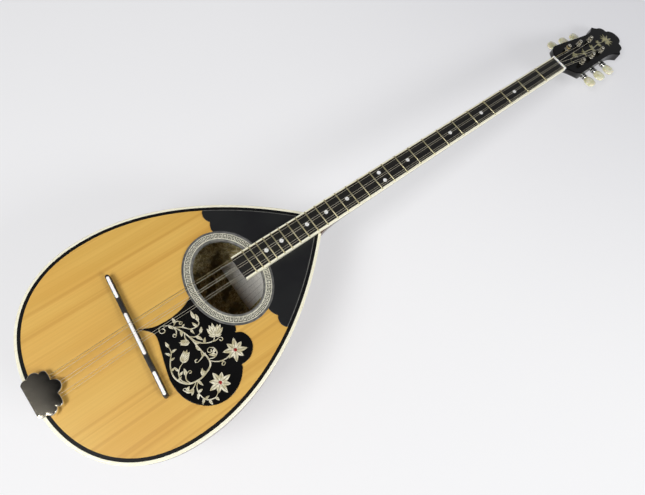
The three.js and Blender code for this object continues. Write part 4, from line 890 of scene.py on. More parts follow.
def walnut_carved_lacquered():
    """Walnut, carved and lacquered: dark brown streaks along the neck, with a dark stripe let in down
    the middle of its back."""
    material, tree = new_finish("walnut_carved_lacquered")
    streaks = between(tree, grain(tree, (160, 5, 5), 5), 0.32, 0.68)
    fine = between(tree, grain(tree, (60, 1.2, 1.2), 3), 0.45, 0.75, 0, 0.5)
    wood = tinted(tree, streaks, "#6d4126", "#3c2213")
    wood = tinted(tree, fine, wood, "#2a160c")
    where = add_node(tree, "TexCoord").outputs["Object"]
    across = add_node(tree, "SeparateXYZ", {"Vector": where}).outputs["Y"]
    distance = add_node(tree, "Math", {0: across}, operation="ABSOLUTE")
    striped = tinted(tree, between(tree, distance, 2.2 * MM, 2.5 * MM, 1, 0), wood, "#1c1310")
    finish(tree, Base_Color=striped, Roughness=0.34, coat=(0.4, 0.12))
    return material


def lime_sawn_raw():
    """Lime, sawn and left raw: pale, dull, with faint streaks."""
    return two_tone("lime_sawn_raw", ("#c49c66", "#a67c48"), (4, 90, 4), (0.3, 0.7), 4, Roughness=0.75)


def ebony_scraped_oiled(name, dark, pale):
    """Ebony, scraped and oiled: near black with fine open pores along the neck and a soft sheen."""
    material, tree = new_finish(name)
    pores = grain(tree, (14, 0.7, 0.7), 4)
    streaks = between(tree, grain(tree, (220, 6, 6), 3), 0.4, 0.7)
    colour = tinted(tree, streaks, dark, pale)
    colour = tinted(tree, between(tree, pores, 0.58, 0.7, 0, 0.7), colour, "#0b0a0a")
    finish(tree, Base_Color=colour, Roughness=between(tree, pores, 0.4, 0.7, 0.36, 0.5),
           Normal=dented(tree, pores, 0.02))
    return material


def pearwood_stained_lacquered():
    """Pearwood, stained black and lacquered: black with a trace of brown in the streaks, glossy."""
    return two_tone("pearwood_stained_lacquered", ("#0d0c0d", "#161413"), (120, 4, 4), (0.35, 0.7), 4,
                    Roughness=0.3, Specular_IOR_Level=0.3, coat=(0.1, 0.12))


def celluloid_black_polished():
    """Celluloid sheet, black, polished: deep even gloss with faint fine wear scratches."""
    return scratched("celluloid_black_polished", ("#080808", "#0e0d0d"), 60, 2, (40, 3, 10), (0.12, 0.24),
                     Specular_IOR_Level=0.35)


def celluloid_head_black():
    """Celluloid sheet on the head, black, buffed: a deep black that mirrors little, with faint wear."""
    return scratched("celluloid_head_black", ("#050506", "#0b0a0b"), 40, 2, (30, 4, 10), (0.1, 0.16),
                     Specular_IOR_Level=0.03)


def celluloid_guard_satin():
    """Celluloid sheet, black, rubbed to a satin: it greys under the light, with a soft sheen."""
    return scratched("celluloid_guard_satin", ("#18181a", "#1f2020"), 50, 3, (30, 2, 10), (0.32, 0.4))


def celluloid_ivory_scraped():
    """Ivory celluloid, scraped flush and buffed: warm white with faint grain lines along its length."""
    return two_tone("celluloid_ivory_scraped", ("#fbf8e2", "#f2ecce"), (80, 1.1, 1.1), (0.35, 0.7),
                    Roughness=0.36, coat=(0.3, 0.15))


def bone_polished():
    """Bone, sawn and polished: near white with small darker pores and a soft gloss."""
    return two_tone("bone_polished", ("#fffefb", "#f2efe6"), (3, 0.8, 0.8), (0.55, 0.75), 4,
                    Roughness=0.35, Subsurface_Weight=0.15, Subsurface_Radius=(0.002, 0.0015, 0.001))


def celluloid_black_purfling():
    """Black celluloid strip, scraped flush: even black with a soft gloss."""
    return two_tone("celluloid_black_purfling", ("#0b0b0c", "#141415"), (60, 2, 2), (0.35, 0.7),
                    Roughness=0.35, Specular_IOR_Level=0.25)


def celluloid_grey_rim():
    """Grey pearl celluloid, moulded: dark smoky grey with lighter clouds, for the ring's rims."""
    return two_tone("celluloid_grey_rim", ("#4f4f4e", "#6d6c68"), (6, 6, 6), (0.35, 0.7), 4,
                    Roughness=0.28, coat=(0.3, 0.1))


def pearl_grey_inner_rim():
    """Grey pearl celluloid, paler, for the rim at the hole."""
    return two_tone("pearl_grey_inner_rim", ("#5c5c59", "#7d7c76"), (5, 5, 5), (0.35, 0.7), 4,
                    Roughness=0.28, coat=(0.3, 0.1))


def pearl_silver_band():
    """Silver-white pearl celluloid, pressed: mottled light and mid grey in blots of a few millimetres."""
    return two_tone("pearl_silver_band", ("#dfdcc9", "#bbb8a6"), (3.2, 3.2, 3.2), (0.34, 0.68), 4,
                    Roughness=0.3, coat=(0.4, 0.08))


def ink_line():
    """Dark ink pressed into the pearl: dull charcoal."""
    return two_tone("ink_line", ("#393933", "#4c4b44"), (2, 2, 2), (0.3, 0.7), Roughness=0.5)


def pearl_engraved(name, light, deep, line):
    """Mother-of-pearl, sawn, let in and engraved, the cuts inked: pale with soft shimmer, a dark vein
    down the middle of each piece, slanting cuts beside it and a dark edge. The form's first share runs
    along the piece; its second over the top from 0 to 4/7."""
    material, tree = new_finish(name)
    shares = form_shares(tree)
    top = add_node(tree, "Math", {0: shares["Y"], 1: 7 / 2}, operation="MULTIPLY")
    off = add_node(tree, "Math", {0: top, 1: 1.0}, operation="SUBTRACT")
    aside = add_node(tree, "Math", {0: off}, operation="ABSOLUTE")
    along = add_node(tree, "Math", {0: shares["X"], 1: 7.0}, operation="MULTIPLY")
    slanted = add_node(tree, "Math", {0: along, 1: aside}, operation="SUBTRACT")
    comb = add_node(tree, "Math", {0: slanted, 1: 1.0}, operation="FLOORED_MODULO")
    cuts = between(tree, comb, 0.0, 0.3, 0.65, 0)
    vein = between(tree, aside, 0.04, 0.16, 0.9, 0)
    rim = between(tree, aside, 0.74, 0.95, 0, 0.85)
    marks = add_node(tree, "Math", {0: cuts, 1: vein}, operation="MAXIMUM")
    marks = add_node(tree, "Math", {0: marks, 1: rim}, operation="MAXIMUM")
    shimmer = between(tree, grain(tree, (5, 5, 5), 3), 0.35, 0.65)
    pearl = tinted(tree, shimmer, light, deep)
    pearl = tinted(tree, marks, pearl, line)
    finish(tree, Base_Color=pearl, Roughness=0.28, coat=(0.3, 0.1))
    return material


def enamel_red():
    """Red enamel, dropped in and domed: deep red, glossy."""
    return two_tone("enamel_red", ("#a82a22", "#7c1c18"), (2, 2, 2), (0.3, 0.7), 2,
                    Roughness=0.2, coat=(0.5, 0.05))


def pearl_shell_dots():
    """Mother-of-pearl discs, ground flush: near white with a soft shimmer."""
    return two_tone("pearl_shell_dots", ("#ffffff", "#ecedea"), (1.6, 1.6, 1.6), (0.35, 0.65), Roughness=0.25)


def celluloid_cream_pearl():
    """Cream pearl celluloid, turned and polished: pale yellow with paler swirls, slightly see-through."""
    return two_tone("celluloid_cream_pearl", ("#f4f1d6", "#dcd7aa"), (7, 5, 9), (0.36, 0.64), 5, 0.6,
                    Roughness=0.2, coat=(0.5, 0.06),
                    Subsurface_Weight=0.2, Subsurface_Radius=(0.004, 0.003, 0.0015))


def steel_chromed():
    """Steel, pressed, polished and chrome plated: a mirror with faint wiping marks."""
    return two_tone("steel_chromed", ("#cfcfcb", "#bdbcb6"), (10, 10, 10), (0.35, 0.75), 4,
                    wear=(0.1, 0.2), Metallic=1)


def steel_chromed_painted_reflection():
    """Steel, pressed and chrome plated: a warm grey mirror, its reflection painted in darker to its front,
    its skirt painted bright.
    """
    material, tree = new_finish("steel_chromed_painted_reflection")
    marks = between(tree, grain(tree, (20, 6, 20), 2), 0.2, 0.8)
    where = add_node(tree, "TexCoord").outputs["Object"]
    along = add_node(tree, "SeparateXYZ", {"Vector": where}).outputs["X"]
    # Painted reflection: the plate is painted lighter at its rear and darker towards its front
    front = between(tree, along, -462 * MM, -432 * MM)
    base = tinted(tree, front, "#cdc5b2", "#413f39")
    # Painted highlight: the skirt and the bevel's lower part, from the form's first share, are painted bright
    # as the mirrored lamps and floor
    base = tinted(tree, between(tree, form_shares(tree)["X"], 0.4, 0.54), base, "#f0efea")
    finish(tree, Base_Color=tinted(tree, between(tree, marks, 0, 1, 0, 0.16), base, "#a39e92"), Metallic=1,
           Roughness=between(tree, marks, 0, 1, 0.15, 0.19))
    return material


def brass_nickelled_worn():
    """Brass, cut and nickel plated, worn warm: a dull mirror with brassy patches."""
    return two_tone("brass_nickelled_worn", ("#b4b1a5", "#98907a"), (4, 4, 4), (0.4, 0.7), 4,
                    wear=(0.12, 0.24), Metallic=1)


def nickel_silver_drawn():
    """Nickel silver wire, drawn and dressed: warm grey-gold metal with fine lines along each fret."""
    return two_tone("nickel_silver_drawn", ("#cdc6a2", "#aca47c"), (0.5, 12, 0.5), (0.35, 0.7),
                    wear=(0.34, 0.46), Metallic=1)


def steel_wire_drawn():
    """Steel music wire, drawn: bright grey with fine lines along it."""
    return two_tone("steel_wire_drawn", ("#dcd6c2", "#bdb6a0"), (30, 0.6, 0.6), (0.35, 0.7),
                    wear=(0.38, 0.46), Metallic=0.75)


def bronze_wound():
    """Bronze wound over steel: warm metal with a turn of winding every 0.2 mm, drawn at 0.8 mm."""
    material, tree = new_finish("bronze_wound")
    turns = grain(tree, (0.8, 8, 8), 0)
    finish(tree, Base_Color=tinted(tree, between(tree, turns, 0.4, 0.6), "#cbbd94", "#b1a27a"), Metallic=1,
           Roughness=0.34, Normal=dented(tree, turns, 0.02))
    return material


def paper_grey_bordered():
    """Uncoated pale paper, left bare but for ruled lines inside a plain border."""
    material, tree = new_finish("paper_grey_bordered")
    shares = form_shares(tree)
    fibres = between(tree, grain(tree, (2, 2, 2), 5), 0.3, 0.7)
    colour = tinted(tree, fibres, "#f4f3ec", "#e2e1da")
    # Ruled lines along the sheet, and a thin border
    rows = add_node(tree, "Math", {0: shares["Y"], 1: 9}, operation="MULTIPLY")
    place = add_node(tree, "Math", {0: rows, 1: 1.0}, operation="FLOORED_MODULO")
    ruled = between(tree, place, 0.0, 0.12, 0.5, 0)
    colour = tinted(tree, ruled, colour, "#6d6d6a")
    for name in ("X", "Y"):
        share = add_node(tree, "Math", {0: shares[name], 1: 0.5}, operation="SUBTRACT")
        aside = add_node(tree, "Math", {0: share}, operation="ABSOLUTE")
        border = between(tree, aside, 0.455, 0.465)
        colour = tinted(tree, border, colour, "#e9e8e2")
    finish(tree, Base_Color=colour, Roughness=0.8)
    return material


SPRUCE = spruce_quarter_sawn_lacquered()
STAVES = walnut_staves_lacquered()
NECK_WOOD = walnut_carved_lacquered()
LIME = lime_sawn_raw()
EBONY = ebony_scraped_oiled("ebony_scraped_oiled", "#151412", "#22201d")
# The bridge's copy of the ebony is painted paler than the fretboard's, as a painted sheen
BRIDGE_EBONY_SHEEN = ebony_scraped_oiled("ebony_bridge_painted_sheen", "#242221", "#33302d")
HEAD_WOOD = pearwood_stained_lacquered()
GLOSS_BLACK = celluloid_black_polished()
HEAD_BLACK = celluloid_head_black()
SATIN_BLACK = celluloid_guard_satin()
PURFLING = celluloid_black_purfling()
IVORY = celluloid_ivory_scraped()
BONE = bone_polished()
RIM_GREY = celluloid_grey_rim()
RIM_PALE = pearl_grey_inner_rim()
SILVER_BAND = pearl_silver_band()
INK = ink_line()
GUARD_PEARL = pearl_engraved("pearl_engraved_cream", "#f1ebd2", "#c2b891", "#5a5238")
HEAD_PEARL = pearl_engraved("pearl_engraved_green_gold", "#b3aa68", "#6c6936", "#2c2b18")
ENAMEL = enamel_red()
DOT_PEARL = pearl_shell_dots()
BUTTON_PEARL = celluloid_cream_pearl()
CHROME = steel_chromed()
COVER_CHROME = steel_chromed_painted_reflection()
NICKEL = brass_nickelled_worn()
FRET_METAL = nickel_silver_drawn()
WIRE = steel_wire_drawn()
BRONZE = bronze_wound()
PAPER = paper_grey_bordered()


# Body

def outline(share):
    """The body's plan: x and y at a share, 0 at the tail and 1 at the neck joint on the bass side,
    below 0 on the treble side. A superellipse's quarter as far as the widest place, then a half width
    that falls as a power of the way to the joint."""
    side = np.where(share < 0, -1.0, 1.0)
    share = np.abs(share)
    angle = np.pi / 2 * np.minimum(share / ROUND_SHARE, 1)
    round_x = WIDEST_X - ROUND_LENGTH * np.cos(angle) ** (2 / ROUND_POWER)
    round_y = HALF_WIDTH * np.sin(angle) ** (2 / ROUND_POWER)
    along = np.clip(TAPER_JOINT_SHARE * (share - ROUND_SHARE) / (1 - ROUND_SHARE), 0, TAPER_LIMIT_SHARE)
    taper_x = WIDEST_X + TAPER_LENGTH * along
    taper_y = HALF_WIDTH * (1 - along**TAPER_POWER) ** TAPER_ROOT
    rounded = share < ROUND_SHARE
    return np.stack([np.where(rounded, round_x, taper_x), side * np.where(rounded, round_y, taper_y)], -1)


def body_line(inset):
    """The plan moved inwards square to itself, from the neck joint's treble side round the tail to its
    bass side."""
    def line(shares):
        nudge = 1e-3
        way = unit(outline(shares + nudge) - outline(shares - nudge))
        return outline(shares) + inset * np.stack([way[..., 1], -way[..., 0]], -1)

    probes = np.linspace(0.5, 1.04, PROBE_STEPS)
    front = np.interp(JOINT_X, line(probes)[:, 0], probes)
    points = line(np.linspace(-front, front, 2 * BODY_STEPS + 1))
    points[[0, -1], 0] = JOINT_X
    return points


def rim_strip(section):
    """A closed section of insets and heights, carried round the body's plan."""
    return tube(np.stack([at_height(body_line(inset), height) for inset, height in section], 1))


def ellipse(out, angle):
    """Points of the ellipse that runs a distance out from the sound hole's edge."""
    return np.stack([
        HOLE_X + (HOLE_LENGTH / 2 + out) * np.cos(angle), (HOLE_WIDTH / 2 + out) * np.sin(angle),
    ], -1)


FULL_TURN = np.linspace(0, 2 * np.pi, 2 * BODY_STEPS, endpoint=False)

inside_rim = BINDING_WIDTH + PURFLING_WIDTH
soundboard = plate(body_line(inside_rim), -BOARD_THICKNESS, 0, BOARD_EDGE, [ellipse(0, FULL_TURN)])
make_piece("soundboard_spruce", soundboard, SPRUCE, ["soundboard"])

arc = np.linspace(0, np.pi / 2, ARC_STEPS // 3 + 1)
binding_section = [
    (0, -BOARD_THICKNESS),
    *zip(BINDING_ROUND * (1 - np.cos(arc)), BINDING_ROUND * (np.sin(arc) - 1)),
    (BINDING_WIDTH - HAIR, 0), (BINDING_WIDTH, -HAIR), (BINDING_WIDTH, -BOARD_THICKNESS),
]
make_piece("body_binding_ivory", rim_strip(binding_section), IVORY, ["body_binding"])

purfling_section = [
    (BINDING_WIDTH, -PURFLING_DEPTH), (BINDING_WIDTH, -HAIR), (BINDING_WIDTH + HAIR, 0),
    (inside_rim, 0), (inside_rim + HAIR, -HAIR), (inside_rim + HAIR, -PURFLING_DEPTH),
]
make_piece("body_purfling_black", rim_strip(purfling_section), PURFLING, ["body_purfling"])


# Ring round the sound hole

def ring_band(inner, outer, top, edge, bottom=0):
    """A band of the ring between two distances from the hole's edge, its edges rounded, carried round
    the ellipse; its inner wall may reach down through the hole."""
    quarter = np.linspace(0, np.pi / 2, EDGE_STEPS + 1)
    insets = edge * (1 - np.cos(quarter))
    heights = top - edge * (1 - np.sin(quarter))
    section = [
        (outer, 0), *zip(outer - insets, heights), *zip(inner + insets[::-1], heights[::-1]),
        (inner, bottom), (max(inner, 0), bottom),
    ]
    columns = [at_height(ellipse(out, FULL_TURN), height) for out, height in section]
    return skin(np.stack(columns, 1), round_rows=True, round_columns=True)


def meander():
    """A row of square hooks on the ring's band: each stroke is a low block between two corners of its
    hook's line, bent onto the ellipse."""
    strokes = np.array([*zip(MEANDER_SHARES[:-1], MEANDER_SHARES[1:])], float)
    band_low = RING_INNER_RIM + MEANDER_MARGIN
    band_high = RING_BAND - RING_OUTER_RIM - MEANDER_MARGIN
    unit_length = np.pi * (HOLE_LENGTH + HOLE_WIDTH + 2 * RING_BAND) / 2 / MEANDER_UNITS
    low = strokes.min(1) * (unit_length, band_high - band_low) - MEANDER_WIDTH / 2
    high = strokes.max(1) * (unit_length, band_high - band_low) + MEANDER_WIDTH / 2
    corner_shares = np.array([(0, 0), (1, 0), (1, 1), (0, 1)])
    flat = low[:, None] + corner_shares * (high - low)[:, None]
    units = np.arange(MEANDER_UNITS)[:, None, None]
    angle = (flat[None, ..., 0] / unit_length + units) * 2 * np.pi / MEANDER_UNITS
    blocks = ellipse(band_low + flat[None, ..., 1], angle).reshape(-1, 4, 2)
    heights = (RING_BAND_TOP - SUNK, RING_BAND_TOP + MEANDER_RISE)
    return joined([tube(np.stack([at_height(block, height) for height in heights])) for block in blocks])


outer_rim = ring_band(RING_BAND - RING_OUTER_RIM, RING_BAND, RING_RIM_TOP, RING_RIM_EDGE)
make_piece("ring_outer_rim", outer_rim, RIM_GREY, ["sound_hole_ring"])
inner_rim = ring_band(-RING_SLEEVE, RING_INNER_RIM, RING_RIM_TOP, RING_RIM_EDGE, -BOARD_THICKNESS)
make_piece("ring_inner_rim", inner_rim, RIM_PALE, ["sound_hole_ring"])
band = ring_band(RING_INNER_RIM, RING_BAND - RING_OUTER_RIM, RING_BAND_TOP, RING_BAND_EDGE)
make_piece("ring_silver_band", band, SILVER_BAND, ["sound_hole_ring"])
make_piece("ring_meander", meander(), INK)


# Guards

def ring_view(points):
    """The points with the ring's outer ellipse drawn as a circle of radius 1 about the origin."""
    return (points - (HOLE_X, 0)) / RING_HALF_SIZES


def until_ring(points):
    """The points up to where the line meets the ring, with the meeting place, and its angle."""
    reach = np.linalg.norm(ring_view(points), axis=1)
    inside = int(np.argmax(reach < 1))
    part = (reach[inside - 1] - 1) / (reach[inside - 1] - reach[inside])
    meeting = points[inside - 1] + part * (points[inside] - points[inside - 1])
    across, up = ring_view(meeting)
    return np.concatenate([points[:inside], meeting[None]]), math.atan2(up, across)


def upper_guard_plan(inset):
    """Half the upper guard: down the body's edge from the neck, over two lobes to the ring, and round
    the ring to the centre line; then its mirror image."""
    bass = body_line(inset)[BODY_STEPS:]
    corner = np.array([GUARD_LOW_X, np.interp(GUARD_LOW_X, *bass[BODY_STEPS // 2:].T)])
    bass = bass[bass[:, 0] > GUARD_LOW_X][::-1]
    start, lobes = corner, []
    for share in UPPER_GUARD_CUSP_SHARES:
        cusp = np.array([GUARD_LOW_X, share * HALF_WIDTH])
        lobes.append(arc_line(start, cusp, -UPPER_GUARD_BULGE_SHARE))
        start = cusp
    line, angle = until_ring(np.concatenate([bass, corner[None], *lobes]))
    half = np.concatenate([line, ellipse(RING_BAND, np.linspace(angle, 0, BODY_STEPS // 4))[1:]])
    return np.concatenate([half, (half * (1, -1))[-2::-1]])


def guard_place(shares):
    """Shares of the pickguard's reach and width as places: towards the tail and the treble side."""
    return (HOLE_X, 0) - np.asarray(shares, float) * (PICKGUARD_REACH, PICKGUARD_WIDTH)


def pickguard_plan():
    """The pickguard: from its tip at the bridge to the ring, round the ring, and back over a lobe and
    the belly."""
    stretches = (PICKGUARD_UPPER_SHARES, PICKGUARD_RING_SHARES, PICKGUARD_LOBE_SHARES, PICKGUARD_BELLY_SHARES)
    upper, ring, lobe, belly = (smooth_line(guard_place(shares), ARC_STEPS) for shares in stretches)
    upper, start = until_ring(upper)
    lower, end = until_ring(np.concatenate([ring, lobe[1:], belly[1:-1]])[::-1])
    round_ring = ellipse(RING_BAND, np.linspace(start, end + 2 * math.pi, BODY_STEPS // 3))
    return np.concatenate([upper, round_ring[1:-1], lower[::-1]])


def guard_line():
    """A thin grey line between the purfling and the upper guard, on both sides of the neck."""
    edges = [body_line(inside_rim + inset) for inset in (0, GUARD_LINE_WIDTH)]
    forms = []
    for half in (slice(0, BODY_STEPS), slice(BODY_STEPS + 1, None)):
        outer, inner = (edge[half] for edge in edges)
        kept = outer[:, 0] > GUARD_LOW_X
        section = [(outer, -SUNK), (outer, GUARD_LINE_TOP), (inner, GUARD_LINE_TOP), (inner, -SUNK)]
        forms.append(tube(np.stack([at_height(line[kept], height) for line, height in section], 1)))
    return joined(forms)


upper_guard = plate(upper_guard_plan(inside_rim + GUARD_LINE_WIDTH), 0, GUARD_TOP, GUARD_EDGE)
make_piece("upper_guard_satin", upper_guard, SATIN_BLACK, ["upper_guard"])
pickguard = plate(pickguard_plan(), 0, GUARD_TOP, GUARD_EDGE)
make_piece("pickguard_gloss", pickguard, GLOSS_BLACK, ["pickguard"])
make_piece("upper_guard_line", guard_line(), RIM_PALE)


# Inlays

def ribbon(line, half_widths, lift):
    """A flat inlaid strip: along a line, with a half width at each of its points, and a low arch
    across; its foot is sunk in the plate."""
    asides = np.multiply.outer(half_widths, STRIP_ASIDE_SHARES)
    rises = np.broadcast_to(INLAY_RISE * np.array(STRIP_RISE_SHARES), asides.shape)
    return carried(at_height(np.asarray(line, float), lift), np.stack([asides, rises], -1), UP)


def stem(places, lift, half_width=STEM_HALF_WIDTH):
    """A stem through given places, thin at both ends."""
    line = smooth_line(places, STEM_STEPS)
    share = np.linspace(0, 1, len(line))
    widths = STEM_END_HALF_WIDTH + (half_width - STEM_END_HALF_WIDTH) * np.sin(np.pi * share) ** STEM_POWER
    return ribbon(line, widths, lift)


def leaf(place, angle, length, half_width, lift, bend=0.0):
    """A pointed leaf or petal from a place: it widens to a third of its length and narrows to its
    point, and bends to its left by a share of its length."""
    share = np.linspace(0, 1, LEAF_STEPS + 1)[:, None]
    way = on_circle(angle)
    left = np.array([-way[1], way[0]])
    widths = half_width * np.sin(np.pi * share[:, 0]**LEAF_SKEW) ** LEAF_POWER + LEAF_TIP
    return ribbon(place + length * (share * way + bend * share**2 * left), widths, lift)


def curl(place, angle, size, turns, lift, hand=1):
    """A curl: a spiral that starts at a place along an angle and winds inwards, to the left where hand
    is 1, ending in a small round eye."""
    share = np.linspace(0, 1, CURL_STEPS + 1)
    radius = size * (1 - CURL_CLOSING * share)
    heading = angle + hand * 2 * np.pi * turns * share
    step = on_circle(heading) * (radius * 2 * np.pi * turns / CURL_STEPS)[:, None]
    line = place + np.concatenate([np.zeros((1, 2)), np.cumsum(step, 0)[:-1]])
    eye = CURL_EYE * np.exp(-((share - 1) / CURL_EYE_SHARE) ** 2)
    return ribbon(line, STEM_END_HALF_WIDTH + CURL_SWELLING * share + eye, lift)


def flower(place, size, lift, turn=0.0, count=PETAL_COUNT):
    """A flower: a ring of pointed petals, every other one longer and on top."""
    petals = []
    for i in range(count):
        angle = turn + 2 * math.pi * i / count
        length = PETAL_LENGTH * size * (1.0 if i % 2 else SHORT_PETAL_SHARE)
        petals.append(leaf(place + PETAL_START * size * on_circle(angle), angle, length,
                           PETAL_HALF_WIDTH * size, lift + (i % 2 + 1) * INLAY_STEP, PETAL_BEND))
    return petals


def tulip(place, angle, size, lift):
    """A half-open flower: three petals inside, two that bend out, and two small leaves at its foot."""
    return [leaf(place, angle + spread, length * size, wide * size, lift + i * INLAY_STEP, bend)
            for i, (spread, length, wide, bend) in enumerate(TULIP_PETALS)]


def bud(place, angle, size, lift):
    """A leafy bud: pairs of short leaves up a middle one."""
    forms = [leaf(place, angle, BUD_LENGTH * size, BUD_HALF_WIDTH * size, lift)]
    for i, (along, length) in enumerate(BUD_PAIRS):
        foot = place + along * size * on_circle(angle)
        for hand in (1, -1):
            forms.append(leaf(foot, angle + hand * BUD_PAIR_ANGLE, length * size, BUD_PAIR_HALF_WIDTH * size,
                              lift + (i + 1) * INLAY_STEP, hand * BUD_PAIR_BEND))
    return forms


def spray(place, angle, spread, count, length, half_width, lift):
    """A fan of pointed leaves from one place, shorter to both sides."""
    return [leaf(place, angle + spread * share, length * (1 - FAN_SHORTENING * abs(share)), half_width,
                 lift + i * INLAY_STEP, FAN_BEND * share)
            for i, share in enumerate(np.linspace(-1, 1, count))]


def toward(start, end):
    """The angle of the way from one place to another."""
    return math.atan2(end[1] - start[1], end[0] - start[0])


def pickguard_inlay():
    """The vine on the pickguard: one S-shaped stem with branches to two flowers, a tulip and a bud,
    with curls and small leaves off it. All places are shares of the guard's reach and width."""
    lift = GUARD_TOP
    main = [(0.8, 0.06), (0.74, 0.1), (0.69, 0.18), (0.65, 0.28), (0.635, 0.38), (0.625, 0.48), (0.61, 0.57),
            (0.625, 0.64), (0.69, 0.68), (0.78, 0.7), (0.88, 0.68), (0.94, 0.62), (0.965, 0.54), (0.95, 0.46),
            (0.91, 0.39), (0.865, 0.33), (0.855, 0.26)]
    branches = [
        [(0.72, 0.13), (0.65, 0.18), (0.595, 0.24), (0.53, 0.255), (0.492, 0.23), (0.505, 0.17)],
        [(0.645, 0.29), (0.615, 0.375), (0.56, 0.435), (0.485, 0.465), (0.435, 0.43)],
        [(0.5, 0.46), (0.46, 0.475), (0.425, 0.472)],
        [(0.61, 0.61), (0.55, 0.66), (0.48, 0.68), (0.425, 0.67), (0.37, 0.66)],
        [(0.56, 0.655), (0.52, 0.675), (0.5, 0.7)],
        [(0.8, 0.7), (0.845, 0.75), (0.857, 0.825), (0.824, 0.9), (0.75, 0.925), (0.69, 0.88)],
        [(0.88, 0.68), (0.925, 0.61), (0.915, 0.545), (0.875, 0.5), (0.832, 0.48)],
        [(0.865, 0.69), (0.886, 0.635), (0.862, 0.59), (0.82, 0.575)],
        [(0.82, 0.7), (0.88, 0.735), (0.94, 0.73), (0.961, 0.695)],
        [(0.632, 0.485), (0.65, 0.535), (0.703, 0.553)],
        [(0.72, 0.125), (0.716, 0.18), (0.75, 0.228)],
        [(0.612, 0.585), (0.56, 0.605), (0.514, 0.583), (0.51, 0.532), (0.541, 0.5)],
        [(0.667, 0.245), (0.684, 0.29), (0.676, 0.34)],
        [(0.645, 0.3), (0.592, 0.335), (0.54, 0.33)],
        [(0.71, 0.12), (0.665, 0.1), (0.622, 0.135)],
    ]
    forms = [stem(guard_place(main), lift, MAIN_STEM_HALF_WIDTH)]
    for i, branch in enumerate(branches):
        forms.append(stem(guard_place(branch), lift + (i + 1) * INLAY_STEP / 2))
    # Each curl: where it starts, the place it heads for, its size, its turns and its hand
    curls = [
        ((0.8, 0.06), (0.86, 0.05), 4.8, 1.05, 1), ((0.425, 0.472), (0.38, 0.46), 2.9, 0.95, -1),
        ((0.75, 0.228), (0.79, 0.22), 2.3, 0.85, -1), ((0.5, 0.7), (0.505, 0.74), 2.4, 0.9, -1),
        ((0.703, 0.553), (0.74, 0.56), 2.3, 0.8, -1), ((0.541, 0.5), (0.58, 0.49), 3.3, 0.95, 1),
        ((0.82, 0.575), (0.8, 0.58), 1.9, 0.75, -1), ((0.622, 0.135), (0.63, 0.16), 2.2, 0.8, -1),
        ((0.961, 0.695), (0.945, 0.68), 2.2, 0.8, -1), ((0.505, 0.17), (0.51, 0.14), 2.4, 0.8, -1),
    ]
    for i, (place, target, size, turns, hand) in enumerate(curls):
        place, target = guard_place(place), guard_place(target)
        forms.append(curl(place, toward(place, target), size, turns, lift + 0.5 * INLAY_STEP * i, hand))
    # Each leaf: its foot, its tip, and how wide it is for its length
    leaves = [
        ((0.503, 0.175), (0.515, 0.09), 0.19), ((0.495, 0.22), (0.46, 0.15), 0.19),
        ((0.526, 0.257), (0.56, 0.2), 0.2), ((0.594, 0.243), (0.6, 0.3), 0.2),
        ((0.648, 0.181), (0.62, 0.16), 0.26), ((0.69, 0.11), (0.665, 0.05), 0.22),
        ((0.592, 0.335), (0.545, 0.39), 0.22), ((0.54, 0.33), (0.49, 0.29), 0.24),
        ((0.56, 0.436), (0.535, 0.385), 0.22), ((0.633, 0.376), (0.59, 0.42), 0.2),
        ((0.63, 0.47), (0.655, 0.41), 0.2), ((0.645, 0.53), (0.6, 0.53), 0.26),
        ((0.51, 0.54), (0.545, 0.57), 0.3), ((0.53, 0.6), (0.575, 0.545), 0.24),
        ((0.74, 0.69), (0.72, 0.62), 0.2), ((0.8, 0.7), (0.8, 0.765), 0.2),
        ((0.88, 0.735), (0.91, 0.79), 0.2), ((0.95, 0.72), (0.89, 0.77), 0.22),
        ((0.94, 0.725), (0.9, 0.69), 0.26), ((0.857, 0.805), (0.9, 0.84), 0.24),
        ((0.845, 0.87), (0.875, 0.915), 0.24), ((0.81, 0.91), (0.82, 0.965), 0.24),
        ((0.755, 0.925), (0.73, 0.965), 0.26), ((0.857, 0.79), (0.81, 0.8), 0.26),
        ((0.835, 0.885), (0.795, 0.87), 0.26), ((0.91, 0.39), (0.865, 0.4), 0.22),
        ((0.866, 0.335), (0.81, 0.32), 0.2), ((0.885, 0.355), (0.905, 0.3), 0.2),
        ((0.856, 0.275), (0.87, 0.215), 0.24), ((0.955, 0.48), (0.91, 0.48), 0.22),
        ((0.95, 0.6), (0.91, 0.57), 0.22), ((0.918, 0.56), (0.87, 0.555), 0.24),
        ((0.9, 0.52), (0.925, 0.47), 0.2), ((0.87, 0.595), (0.835, 0.535), 0.24),
        ((0.68, 0.2), (0.69, 0.26), 0.22), ((0.75, 0.09), (0.74, 0.15), 0.2),
    ]
    for i, (foot, tip, wide) in enumerate(leaves):
        foot, tip = guard_place(foot), guard_place(tip)
        length = np.linalg.norm(tip - foot)
        forms.append(leaf(foot, toward(foot, tip), length, wide * length, lift + 0.3 * INLAY_STEP * i,
                          0.22 if i % 2 else -0.22))
    buds = [
        ((0.832, 0.481), (0.735, 0.4), 1.15), ((0.672, 0.35), (0.76, 0.29), 0.85),
        ((0.7, 0.685), (0.745, 0.645), 0.5),
    ]
    for foot, tip, size in buds:
        foot, tip = guard_place(foot), guard_place(tip)
        forms += bud(foot, toward(foot, tip), size, lift + INLAY_STEP)
    hearts = guard_place([(0.357, 0.66), (0.645, 0.837)])
    for i, place in enumerate(hearts):
        forms += flower(place, 1.24, lift + 2 * INLAY_STEP, 0.3 + 0.5 * i)
    foot, tip = guard_place([(0.435, 0.43), (0.38, 0.335)])
    forms += tulip(foot, toward(foot, tip), 1.25, lift + INLAY_STEP)
    return joined(forms), hearts


def dome(place, radius, bottom, rise):
    """A low dome: its height over the plate falls as the square of the way from its middle."""
    shares = np.linspace(0, 1, DOME_STEPS + 1)
    profile = [*zip(radius * shares, bottom + rise * (1 - shares**2)), (radius, bottom - SUNK)]
    return shifted(turned(profile, SMALL_SIDES), moved(*place, 0))


